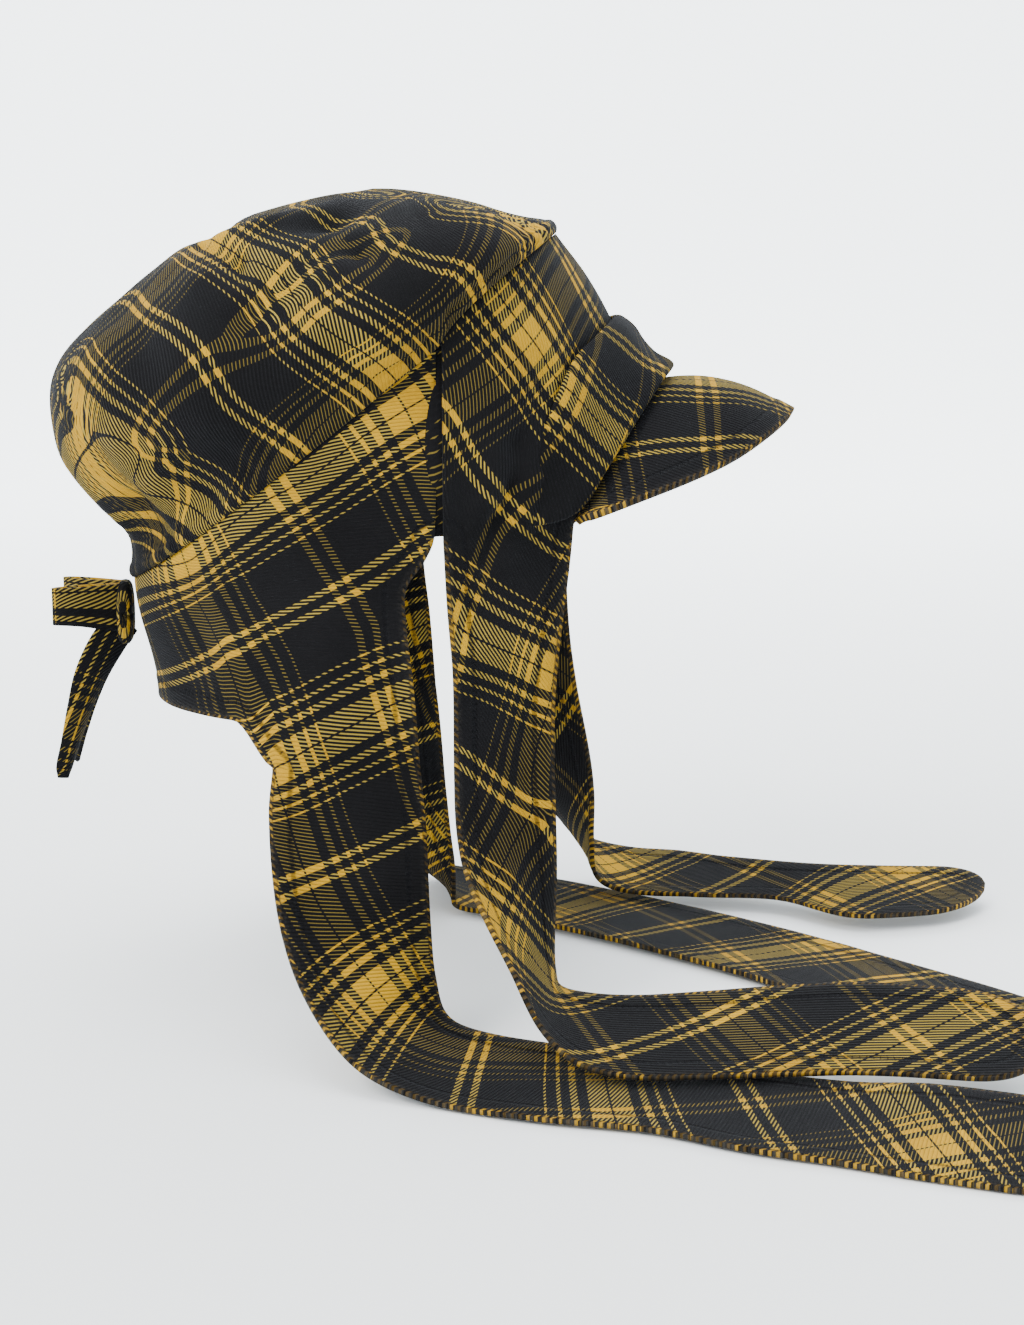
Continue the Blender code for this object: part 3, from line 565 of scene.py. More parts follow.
def side_seam(share, side):
    """Crown seam over a side flap, from the centre back (0) to the front panel (1)."""
    x, y = side_plan(share, SEAM_SIDE_X, 0.0)
    y = y + (SEAM_SIDE_Y - side_plan(1.0, SEAM_SIDE_X, 0.0)[1]) * ease(share * 2.0 - 1.0)
    return Vector((x, side * y, seam_height(x)))


def front_seam(share, side):
    """Crown seam over the front panel, from the forehead (0) to the side flap (1)."""
    angle = share * math.pi / 2
    ahead = max(math.cos(angle), 0.0)
    return Vector((
        SEAM_SIDE_X + (SEAM_FRONT_X - SEAM_SIDE_X) * ahead ** 0.8,
        side * SEAM_SIDE_Y * math.sin(angle),
        SEAM_SIDE_Z + (SEAM_FRONT_Z - SEAM_SIDE_Z) * ahead ** 0.62,
    ))


def crown_point(seam, at):
    """A place on the crown, over a place on its seam and a share of the way to its middle."""
    outward = Vector((seam.x - AXIS_X, seam.y, 0.0))
    radius = outward.length
    outward.normalize()
    front = max(outward.x, 0.0) ** 2
    back = max(-outward.x, 0.0) ** 2
    side = 1.0 - front - back
    out = (
        back * smooth(CROWN_SECTION, "back_out", at)
        + side * smooth(CROWN_SECTION, "side_out", at)
        + front * smooth(CROWN_SECTION, "front_out", at)
    )
    up = (
        back * smooth(CROWN_SECTION, "back_up", at)
        + side * smooth(CROWN_SECTION, "side_up", at)
        + front * smooth(CROWN_SECTION, "front_up", at)
    )
    rise = CROWN_TOP_Z - seam.z
    turn = math.degrees(math.atan2(outward.y, outward.x))
    dent = 0.0
    for spot in CROWN_DENTS:
        away = abs(turn - spot.turn)
        away = min(away, 360.0 - away) / spot.turn_width
        along = (at - spot.at) / spot.at_width
        dent += spot.depth * math.exp(-away * away - along * along)
    inward = dent * CROWN_TOP_Z * ease(at / 0.08) * ease((1.0 - at) / 0.08)
    slope = ease((at - 0.3) / 0.5)
    return Vector((
        AXIS_X + outward.x * (radius * out - inward * (1.0 - slope)),
        outward.y * (radius * out - inward * (1.0 - slope)),
        seam.z + rise * up - inward * slope,
    ))


def hem_point(share, side):
    """Hem of the front panel, from the forehead (0) to the side flap (1)."""
    return Vector((
        SEAM_SIDE_X + (HEM_FRONT_X - SEAM_SIDE_X) * smooth(PANEL_HEM, "forward", share),
        side * TEMPLE_HALF_WIDTH * smooth(PANEL_HEM, "aside", share),
        HEM_SIDE_Z + (HEM_FRONT_Z - HEM_SIDE_Z) * smooth(PANEL_HEM, "up", share),
    ))


def panel_out(share, side):
    """The way the front panel faces."""
    angle = share * math.pi / 2
    return Vector((math.cos(angle), side * math.sin(angle), 0.35 * math.cos(angle))).normalized()


def panel_point(share, down, side):
    """A place on the front panel, from the crown seam (down 0) to the hem (down 1)."""
    top = front_seam(share, side)
    hem = hem_point(share, side)
    bulge = PANEL_BULGE * math.sin(math.pi * min(max(down, 0.0), 1.0))
    return top.lerp(hem, down) + panel_out(share, side) * bulge


def side_edge_share():
    """Where the panel stops, so that it keeps the seam gap to the side flap."""
    return 1.0 - SEAM_GAP / (SEAM_FRONT_X - SEAM_SIDE_X)


def cuff_point(share, at, side):
    """A place on the cuff: down its section, at a share of the way round to the temple."""
    upper = smooth(CUFF_RUN, "down", share)
    down = upper + (1.0 - upper) * smooth(CUFF_SECTION, "down", at) - CUFF_EASE * share
    clear = (CLOTH_WALL + CUFF_WALL) / 2 + SEAM_GAP
    out = clear + CUFF_PROUD * smooth(CUFF_RUN, "proud", share) * smooth(CUFF_SECTION, "out", at)
    place = front_seam(share, side).lerp(hem_point(share, side), down)
    bulge = PANEL_BULGE * math.sin(math.pi * min(down, 1.0))
    return place + panel_out(share, side) * (bulge + out)


def peak_rim(turn):
    """The outer edge of the peak, from the wearer's right (-90 degrees) to the left (90)."""
    ahead = max(math.cos(math.radians(turn)), 0.0)
    corner_x = SEAM_SIDE_X + (HEM_FRONT_X - SEAM_SIDE_X) * 0.65
    return Vector((
        corner_x + PEAK_LENGTH * ahead ** 0.94,
        PEAK_HALF_WIDTH * math.sin(math.radians(turn)),
        PEAK_CORNER_Z + (PEAK_TIP_Z - PEAK_CORNER_Z) * ahead ** 1.2,
    ))


def peak_root(turn):
    """The inner edge of the peak, just outside the hem of the front panel."""
    share = 0.65 * abs(turn) / 90.0
    side = LEFT if turn > 0 else RIGHT
    clear = CLOTH_WALL / 2 + SEAM_GAP
    place = hem_point(share, side)
    away = Vector((math.cos(math.radians(turn)), math.sin(math.radians(turn)), 0.0))
    lift = Vector((0.0, 0.0, PEAK_WALL * (0.65 * math.cos(math.radians(turn)) - 0.4)))
    return place + away * (clear + PEAK_WALL * 0.1) + lift


def peak_point(turn, out):
    """A place on the peak, from its root (0) to its edge (1)."""
    crowning = PEAK_CROWNING * math.sin(math.pi * out) * math.cos(math.radians(turn))
    return peak_root(turn).lerp(peak_rim(turn), out) + Vector((0.0, 0.0, crowning))


def tie_point(rows, at, across, side):
    """A place on a long tie: along it, and across it from its rear edge (0) to its front (1)."""
    centre = Vector((
        TIE_REACH * smooth(rows, "x", at),
        side * TIE_SPREAD * smooth(rows, "y", at),
        TIE_DROP * smooth(rows, "z", at),
    ))
    turn = math.radians(smooth(rows, "turn", at))
    rise = math.radians(smooth(rows, "rise", at))
    width = REAR_TIE_WIDTH if rows in (REAR_TIE_RIGHT, REAR_TIE_LEFT) else FRONT_TIE_WIDTH
    width = width * smooth(rows, "width", at)
    length = TIE_REACH * (rows[-1].x - rows[-2].x) / (rows[-1].at - rows[-2].at)
    left = min((1.0 - at) * length / TIE_POINT, 1.0)
    width = width * max(math.sqrt(max(1.0 - (1.0 - left) ** 2.4, 0.0)), 0.12)
    way = Vector((
        math.cos(turn) * math.cos(rise),
        -side * math.sin(turn) * math.cos(rise),
        math.sin(rise),
    ))
    return centre + way * width * (across - 0.5)


def flap_point(share, down, side):
    """A place on the side flap above its tie, from the centre back and from the crown seam."""
    seam = side_seam(share, side)
    strap = ease((seam.x - (FLAP_STRAP_REAR_X - 0.018)) / 0.020)
    bottom = FLAP_BACK_Z + (FLAP_STRAP_Z - FLAP_BACK_Z) * strap
    z = seam.z + (bottom - seam.z) * down
    tuck = FLAP_NAPE_TUCK * ease((SEAM_BACK_Z - z) / (SEAM_BACK_Z - FLAP_BACK_Z))
    x, y = side_plan(share, SEAM_SIDE_X, tuck)
    y = y + (SEAM_SIDE_Y - side_plan(1.0, SEAM_SIDE_X, 0.0)[1]) * ease(share * 2.0 - 1.0)
    drawn = smooth(FLAP_FRONT_EDGE, "x", down) - 1.0
    x = x + SEAM_SIDE_X * drawn * share ** 3
    y = y + FLAP_FLARE * ease(down) * share
    return Vector((x, side * y, z))


def bow_frame(side):
    """Where a loop or tail leaves the knot, and the way it goes in plan."""
    angle = math.radians(BOW_SPLAY)
    away = Vector((-math.cos(angle), side * math.sin(angle), 0.0))
    knot_x = AXIS_X - HEAD_BACK - CLOTH_WALL / 2 - SEAM_GAP - KNOT_DEPTH
    start = Vector((knot_x, side * KNOT_WIDTH * 0.26, BOW_Z))
    return start + away * (BOW_WALL / 2 + SEAM_GAP), away


def mm(metres):
    return metres * 1000.0


def lerp(a, b, share):
    return a + (b - a) * share


def length_setting(name, description, default, low, high):
    """A length that the panel shows."""
    return bpy.props.FloatProperty(
        name=name, description=description, default=default, min=low, max=high,
        subtype="DISTANCE", unit="LENGTH",
    )


def colour_setting(name, description, default):
    """A colour that the panel shows."""
    return bpy.props.FloatVectorProperty(
        name=name, description=description, default=default, min=0.0, max=1.0, subtype="COLOR",
    )


class CapSizes(bpy.types.PropertyGroup):
    """Sizes of the cloth and of its sewing."""

    hem_width: length_setting("Hem width", "Width of the turned hems", 0.008, 0.002, 0.02)
    hem_step: bpy.props.FloatProperty(
        name="Cloth beside hem", description="Thickness beside the hem, as a share of the hem's",
        default=0.62, min=0.3, max=1.0, subtype="FACTOR",
    )
    gather_depth: length_setting(
        "Gather depth", "How deep the crown's gathers are at its seam", 0.0012, 0.0, 0.004,
    )
    twill_pitch: length_setting(
        "Twill pitch", "Distance from one twill rib to the next", 0.00145, 0.0005, 0.004,
    )
    twill_depth: length_setting("Twill depth", "Height of the twill ribs", 0.00032, 0.0, 0.001)
    stitch_length: length_setting(
        "Stitch length", "Length of one topstitch", 0.0026, 0.001, 0.006,
    )
    thread_width: length_setting(
        "Thread", "Thickness of the sewing thread", 0.0005, 0.0002, 0.001,
    )


class CapColours(bpy.types.PropertyGroup):
    """Colours of the yarns, the sewing thread and the floor."""

    ground: colour_setting("Ground", "Colour of the dark yarn", (0.0052, 0.0051, 0.0056))
    stripe: colour_setting(
        "Stripe", "Colour of the yellow yarn where stripes cross", (0.44, 0.245, 0.010),
    )
    pale_stripe: colour_setting(
        "Single stripe", "Colour of the yellow yarn in a stripe by itself", (0.37, 0.262, 0.042),
    )
    thread: colour_setting("Thread", "Colour of the sewing thread", (0.005, 0.005, 0.006))
    floor: colour_setting("Floor", "Colour of the floor", (0.88, 0.90, 0.91))


def sizes():
    return bpy.context.scene.plaid_cap_sizes


def colours():
    return bpy.context.scene.plaid_cap_colours


class Wiring:
    """Short ways to add and join the nodes of a material."""

    def __init__(self, material):
        material.use_nodes = True
        self.tree = material.node_tree
        self.shader = self.tree.nodes["Principled BSDF"]

    def join(self, value, socket):
        if isinstance(value, (int, float, tuple)):
            socket.default_value = value
        else:
            self.tree.links.new(value, socket)

    def math(self, operation, *values):
        node = self.tree.nodes.new("ShaderNodeMath")
        node.operation = operation
        for value, socket in zip(values, node.inputs):
            self.join(value, socket)
        return node.outputs[0]

    def ramp(self, value, stops, interpolation="LINEAR"):
        node = self.tree.nodes.new("ShaderNodeValToRGB")
        node.color_ramp.interpolation = interpolation
        elements = node.color_ramp.elements
        while len(elements) < len(stops):
            elements.new(1.0)
        for element, (place, level) in zip(elements, stops):
            element.position = place
            element.color = (level, level, level, 1.0)
        self.join(value, node.inputs[0])
        return node.outputs[0]

    def mix(self, share, first, second):
        node = self.tree.nodes.new("ShaderNodeMix")
        node.data_type = "RGBA"
        self.join(share, node.inputs["Factor"])
        self.join(first, node.inputs[6])
        self.join(second, node.inputs[7])
        return node.outputs[2]

    def noise(self, place, scale, detail=2.0, roughness=0.5):
        node = self.tree.nodes.new("ShaderNodeTexNoise")
        self.join(place, node.inputs["Vector"])
        node.inputs["Scale"].default_value = scale
        node.inputs["Detail"].default_value = detail
        node.inputs["Roughness"].default_value = roughness
        return node.outputs["Fac"]

    def uv(self, name):
        node = self.tree.nodes.new("ShaderNodeUVMap")
        node.uv_map = name
        return node.outputs[0]

    def split(self, vector):
        node = self.tree.nodes.new("ShaderNodeSeparateXYZ")
        self.join(vector, node.inputs[0])
        return node.outputs

    def scaled(self, vector, factors):
        node = self.tree.nodes.new("ShaderNodeVectorMath")
        node.operation = "MULTIPLY"
        self.join(vector, node.inputs[0])
        node.inputs[1].default_value = factors
        return node.outputs[0]

    def bump(self, height, distance, normal=None):
        node = self.tree.nodes.new("ShaderNodeBump")
        node.inputs["Distance"].default_value = distance
        node.inputs["Strength"].default_value = 1.0
        self.join(height, node.inputs["Height"])
        if normal is not None:
            self.join(normal, node.inputs["Normal"])
        return node.outputs[0]


def plaid_material(name):
    """Two-and-one twill in a dark and a yellow yarn, worn along its hems, with painted shade in the
    grooves between its floats and along its topstitch lines.
    """
    material = bpy.data.materials.new(name)
    wiring = Wiring(material)
    weave = wiring.uv("weave")
    across, along = wiring.split(weave)[:2]
    edge, run = wiring.split(wiring.uv("hem"))[:2]

    half_stops = [(0.0, 0.0)]
    for low, high in STRIPES:
        half_stops.append((low / SETT * 2.0, 1.0))
        half_stops.append((high / SETT * 2.0, 0.0))

    def stripes(coordinate, sway):
        moved = wiring.math("ADD", coordinate, sway)
        folded = wiring.math("PINGPONG", moved, 0.5)
        return wiring.ramp(wiring.math("MULTIPLY", folded, 2.0), half_stops, "CONSTANT")

    wander = wiring.noise(wiring.scaled(weave, (1.0, 1.0, 1.0)), 3.0, 1.0)
    sway = wiring.math("MULTIPLY", wiring.math("SUBTRACT", wander, 0.5), 0.004)
    pitch = mm(sizes().twill_pitch) / SETT
    slant = math.radians(31.0)
    twill = wiring.math(
        "FRACT",
        wiring.math(
            "ADD",
            wiring.math("MULTIPLY", across, math.cos(slant) / pitch),
            wiring.math("MULTIPLY", along, math.sin(slant) / pitch),
        ),
    )
    # Between the warp floats (warp_up) and the weft floats (weft_up) the ramps leave gaps where the
    # dark ground shows: painted shade in the grooves of the twill.
    warp_up = wiring.ramp(twill, [(0.0, 0.0), (0.06, 1.0), (0.36, 1.0), (0.48, 0.0)])
    weft_up = wiring.ramp(twill, [(0.60, 0.0), (0.67, 0.42), (0.84, 0.42), (0.92, 0.0)])
    bright = stripes(across, sway)
    olive = stripes(along, sway)
    warp = wiring.math("MULTIPLY", bright, warp_up)
    weft = wiring.math("MULTIPLY", olive, weft_up)
    # solid darkens the crossing of two stripes in those same grooves: painted groove shade.
    solid = wiring.ramp(twill, [(0.0, 0.35), (0.05, 1.0), (0.90, 1.0), (0.96, 0.35)])
    crossing = wiring.math("MULTIPLY", wiring.math("MULTIPLY", bright, olive), solid)
    alone = wiring.math("MULTIPLY", wiring.math("ADD", warp, weft), 0.84)

    yarn = wiring.noise(wiring.scaled(weave, (260.0, 26.0, 1.0)), 1.0, 2.0, 0.7)
    pick = wiring.noise(wiring.scaled(weave, (26.0, 260.0, 1.0)), 1.0, 2.0, 0.7)
    shade = wiring.noise(weave, 2.2, 3.0)
    uneven = wiring.math(
        "ADD", wiring.math("MULTIPLY", wiring.math("ADD", yarn, pick), 0.35), shade
    )
    worn = wiring.math(
        "MULTIPLY",
        wiring.ramp(edge, [(0.0, 1.0), (0.012, 0.55), (0.035, 0.0)]),
        wiring.ramp(wiring.noise(weave, 60.0, 4.0, 0.7), [(0.42, 0.0), (0.70, 1.0)]),
    )
    ground = colours().ground
    stripe = colours().stripe
    ground_colour = wiring.mix(
        wiring.ramp(uneven, [(0.55, 0.0), (1.15, 1.0)]),
        tuple(c * 0.72 for c in ground) + (1.0,),
        tuple(c * 1.45 for c in ground) + (1.0,),
    )
    stripe_colour = wiring.mix(
        wiring.ramp(uneven, [(0.50, 0.0), (1.20, 1.0)]),
        (stripe[0] * 0.66, stripe[1] * 0.60, stripe[2] * 0.75, 1.0),
        (stripe[0] * 1.16, stripe[1] * 1.18, stripe[2] * 1.2, 1.0),
    )
    pale = colours().pale_stripe
    pale_colour = wiring.mix(
        wiring.ramp(uneven, [(0.50, 0.0), (1.20, 1.0)]),
        tuple(c * 0.68 for c in pale) + (1.0,),
        tuple(c * 1.16 for c in pale) + (1.0,),
    )
    colour = wiring.mix(alone, ground_colour, pale_colour)
    colour = wiring.mix(crossing, colour, stripe_colour)
    hem_line = mm(sizes().hem_width) / SETT
    thread = mm(sizes().thread_width) / SETT
    # Topstitch line at the hem's width: dark thread, partly real and partly painted shade in its
    # groove, darkest at the stitch holes (gap).
    stitch_line_and_groove_shade = wiring.ramp(edge, [
        (0.0, 0.0), (hem_line - 2.4 * thread, 0.0), (hem_line - thread, 1.0),
        (hem_line + thread, 1.0), (hem_line + 2.4 * thread, 0.0),
    ])
    stitch = mm(sizes().stitch_length) / SETT
    step = wiring.math("FRACT", wiring.math("DIVIDE", run, stitch))
    gap = wiring.ramp(step, [(0.0, 1.0), (0.10, 0.0), (0.86, 0.0), (0.96, 1.0)])
    # Dark thread and painted groove shade along the topstitch line.
    colour = wiring.mix(
        wiring.math("MULTIPLY", stitch_line_and_groove_shade, wiring.math("ADD", wiring.math("MULTIPLY", gap, 0.3), 0.55)),
        colour, tuple(colours().thread) + (1.0,),
    )
    lean = wiring.math("ADD", run, wiring.math("MULTIPLY", edge, 0.8))
    whip = wiring.math("FRACT", wiring.math("DIVIDE", lean, stitch * 1.15))
    whipped = wiring.math(
        "MULTIPLY",
        wiring.ramp(whip, [(0.0, 0.0), (0.08, 1.0), (0.40, 1.0), (0.50, 0.0)]),
        wiring.ramp(edge, [(0.0, 1.0), (0.011, 1.0), (0.014, 0.0)]),
    )
    bound = wiring.ramp(edge, [(0.0, 1.0), (0.014, 1.0), (0.019, 0.0)])
    colour = wiring.mix(wiring.math("MULTIPLY", bound, 0.85), colour, ground_colour)
    striped = wiring.math("MAXIMUM", bright, olive)
    shown = wiring.math("ADD", 0.10, wiring.math("MULTIPLY", striped, 0.7))
    colour = wiring.mix(wiring.math("MULTIPLY", whipped, shown), colour, stripe_colour)
    colour = wiring.mix(
        wiring.math("MULTIPLY", worn, 0.45), colour, (0.085, 0.078, 0.066, 1.0)
    )
    wiring.join(colour, wiring.shader.inputs["Base Color"])

    rough = wiring.ramp(uneven, [(0.5, 0.74), (1.2, 0.92)])
    wiring.join(rough, wiring.shader.inputs["Roughness"])
    wiring.shader.inputs["Sheen Weight"].default_value = 0.04
    wiring.shader.inputs["Sheen Roughness"].default_value = 0.45
    wiring.shader.inputs["Sheen Tint"].default_value = (0.75, 0.80, 0.90, 1.0)
    wiring.shader.inputs["Specular IOR Level"].default_value = 0.035
    rib = wiring.ramp(twill, [(0.0, 0.15), (0.30, 1.0), (0.62, 0.45), (0.80, 0.0), (1.0, 0.15)])
    grain = wiring.math("ADD", rib, wiring.math("MULTIPLY", wiring.math("ADD", yarn, pick), 0.5))
    near = wiring.bump(grain, sizes().twill_depth)
    pulled = wiring.math("MULTIPLY", stitch_line_and_groove_shade, wiring.math("ADD", gap, 0.7))
    near = wiring.bump(wiring.math("SUBTRACT", 1.0, pulled), 0.0006, near)
    fuzz = wiring.noise(wiring.scaled(weave, (100.0, 100.0, 1.0)), 6.0, 2.0)
    wiring.join(wiring.bump(fuzz, 0.0002, near), wiring.shader.inputs["Normal"])
    return material


def cloth():
    """The plaid, made once."""
    return bpy.data.materials.get("plaid_twill") or plaid_material("plaid_twill")


def picks(count, step):
    """Every so many of a row's places, with its last one."""
    chosen = list(range(0, count - 1, step))
    return chosen + [count - 1]


def filled_in(chosen, values, count):
    """Values between the chosen rows, on smooth curves."""
    chosen = np.array(chosen, float)
    gaps = np.diff(chosen)[:, None, None]
    rates = np.diff(values, axis=0) / gaps
    slopes = np.concatenate([rates[:1], (rates[1:] + rates[:-1]) / 2, rates[-1:]])
    made = np.empty((count,) + values.shape[1:])
    for k in range(count):
        low = min(int(np.searchsorted(chosen, k, side="right")) - 1, len(chosen) - 2)
        gap = chosen[low + 1] - chosen[low]
        t = (k - chosen[low]) / gap
        made[k] = (
            values[low] * (2 * t ** 3 - 3 * t ** 2 + 1)
            + slopes[low] * gap * (t ** 3 - 2 * t ** 2 + t)
            + values[low + 1] * (3 * t ** 2 - 2 * t ** 3)
            + slopes[low + 1] * gap * (t ** 3 - t ** 2)
        )
    return made


def weave_places(name, patches, step):
    """Where each spot lies in the cloth it was cut from, across and along its bright stripes.

    The piece is laid flat with its lengths kept as well as they can be, and is shifted so that
    the stripes cross it at its marks.
    """
    places = {}
    points = []
    flats = []
    springs = set()
    grids = []
    for patch in patches:
        rows = picks(len(patch), step)
        columns = picks(len(patch[0]), step)
        grid = []
        for row in rows:
            line = []
            for column in columns:
                spot = patch[row][column]
                key = tuple(round(value, 6) for value in spot.place)
                if key not in places:
                    places[key] = len(points)
                    points.append([mm(value) for value in spot.place])
                    flats.append((spot.s, spot.t))
                line.append(places[key])
            grid.append(line)
        grids.append((rows, columns, grid))
        for upper, lower in zip(grid, grid[1:]):
            for k in range(len(upper) - 1):
                corners = (upper[k], upper[k + 1], lower[k], lower[k + 1])
                for a, b in combinations(corners, 2):
                    if a != b:
                        springs.add((min(a, b), max(a, b)))
    points = np.array(points)
    pairs = np.array(sorted(springs))
    lengths = np.linalg.norm(points[pairs[:, 0]] - points[pairs[:, 1]], axis=1)
    keep = lengths > 0.01
    pairs = pairs[keep]
    lengths = lengths[keep]
    stiff = np.ones(len(pairs))
    if name == "crown_cloth":
        near_side = (points[:, 1] < FAR_SIDE_FROM)[pairs].all(axis=1)
        stiff = np.where(near_side, 1.0, FAR_SIDE_STIFFNESS)
        at_front = (points[:, 0] > FRONT_FROM)[pairs].all(axis=1)
        stiffer = np.minimum(lengths.mean() / lengths, FRONT_STIFFNESS_LIMIT)
        stiff *= np.where(at_front, stiffer, 1.0)

    count = len(points)
    base = np.zeros((count, count))
    np.add.at(base, (pairs[:, 0], pairs[:, 0]), stiff)
    np.add.at(base, (pairs[:, 1], pairs[:, 1]), stiff)
    np.add.at(base, (pairs[:, 0], pairs[:, 1]), -stiff)
    np.add.at(base, (pairs[:, 1], pairs[:, 0]), -stiff)
    mirrored = name == "left_flap_cloth"
    source = "right_flap_cloth" if mirrored else name
    systems = []
    goals = []
    flats = np.array(flats)
    turn = math.radians(WEAVE_TURNS[name])
    across = -math.sin(turn) * flats[:, 0] + math.cos(turn) * flats[:, 1]
    along = math.cos(turn) * flats[:, 0] + math.sin(turn) * flats[:, 1]
    start = np.stack([across, along], axis=1)
    for axis, kind in enumerate("uv"):
        system = base.copy()
        goal = np.zeros(count)
        offsets = []
        for mark in MARKS:
            if mark.piece != source or mark.kind != kind:
                continue
            place = np.array((mark.x, -mark.y if mirrored else mark.y, mark.z), float)
            value = -mark.value if mirrored and kind == "v" else mark.value
            away = np.linalg.norm(points - place, axis=1)
            near = np.nonzero(away < away.min() + 2.0 * MARK_REACH)[0]
            share = np.exp(-((away[near] / MARK_REACH) ** 2))
            share /= share.sum()
            system[np.ix_(near, near)] += MARK_HOLD * np.outer(share, share)
            goal[near] += MARK_HOLD * share * value
            offsets.append(value - float(start[near, axis] @ share))
        if name == "crown_cloth":
            marked = np.array([mark[3:6] for mark in MARKS if mark.piece == name], float)
            lone = np.linalg.norm(points[:, None] - marked[None], axis=2).min(axis=1)
            tie = UNMARKED_HOLD * (1.0 - np.exp(-((lone / UNMARKED_REACH) ** 4)))
            mean = sum(offsets) / max(len(offsets), 1)
            system += np.diag(tie)
            goal += tie * (start[:, axis] + mean)
        system += np.eye(count) * 1e-6
        systems.append(np.linalg.inv(system))
        goals.append(goal)
        start[:, axis] += sum(offsets) / max(len(offsets), 1)
    laid = start
    for _ in range(LAYING_ROUNDS):
        away = laid[pairs[:, 0]] - laid[pairs[:, 1]]
        size = np.maximum(np.linalg.norm(away, axis=1), 1e-6)
        pull = away * (stiff * lengths / size)[:, None]
        push = np.zeros_like(laid)
        np.add.at(push, pairs[:, 0], pull)
        np.add.at(push, pairs[:, 1], -pull)
        laid = np.stack([systems[k] @ (push[:, k] + goals[k]) for k in range(2)], axis=1)
    made = []
    for patch, (rows, columns, grid) in zip(patches, grids):
        values = laid[np.array(grid)]
        values = filled_in(rows, values, len(patch))
        values = filled_in(columns, values.transpose(1, 0, 2), len(patch[0])).transpose(1, 0, 2)
        made.append(values)
    return made


def is_seam(place):
    """Whether a place on a cloth's edge is sewn to its neighbour."""
    return place.z > SEWN_ABOVE_SIDE + (place.x - SEAM_SIDE_X) * SEWN_SLOPE


def hem_places(mesh, free_only):
    """How far each point is from the cloth's edge and where along it, in millimetres."""
    uses = {}
    for face in mesh.polygons:
        for key in face.edge_keys:
            uses[key] = uses.get(key, 0) + 1
    beside = {}
    for (a, b), count in uses.items():
        if count == 1:
            beside.setdefault(a, []).append(b)
            beside.setdefault(b, []).append(a)
    samples = []
    seen = set()
    for start in sorted(beside):
        if start in seen:
            continue
        walked = 0.0
        here = start
        while here is not None:
            seen.add(here)
            ahead = next((other for other in sorted(beside[here]) if other not in seen), None)
            if ahead is not None:
                a = mesh.vertices[here].co
                b = mesh.vertices[ahead].co
                length = (b - a).length
                for k in range(4):
                    samples.append((a.lerp(b, k / 4), mm(walked + length * k / 4)))
                walked += length
            else:
                samples.append((mesh.vertices[here].co.copy(), mm(walked)))
            here = ahead
    if free_only:
        samples = [sample for sample in samples if not is_seam(sample[0])]
    if not samples:
        return [(FAR_FROM_HEM, 0.0)] * len(mesh.vertices)
    tree = kdtree.KDTree(len(samples))
    for k, (place, _) in enumerate(samples):
        tree.insert(place, k)
    tree.balance()
    found = []
    for vertex in mesh.vertices:
        _, k, away = tree.find(vertex.co)
        found.append((mm(away), samples[k][1]))
    return found


def fold_depth(folds, place):
    """How far the folds move the cloth at a place, in metres."""
    depth = 0.0
    for fold in folds:
        start = Vector(fold.start)
        run = Vector(fold.end) - start
        away = place - start
        if run.length > 0.0:
            share = min(max(away.dot(run) / run.dot(run), 0.0), 1.0)
            away = away - run * share
        depth += fold.height * math.exp(-(away.length / fold.width) ** 2)
    return depth / 1000.0


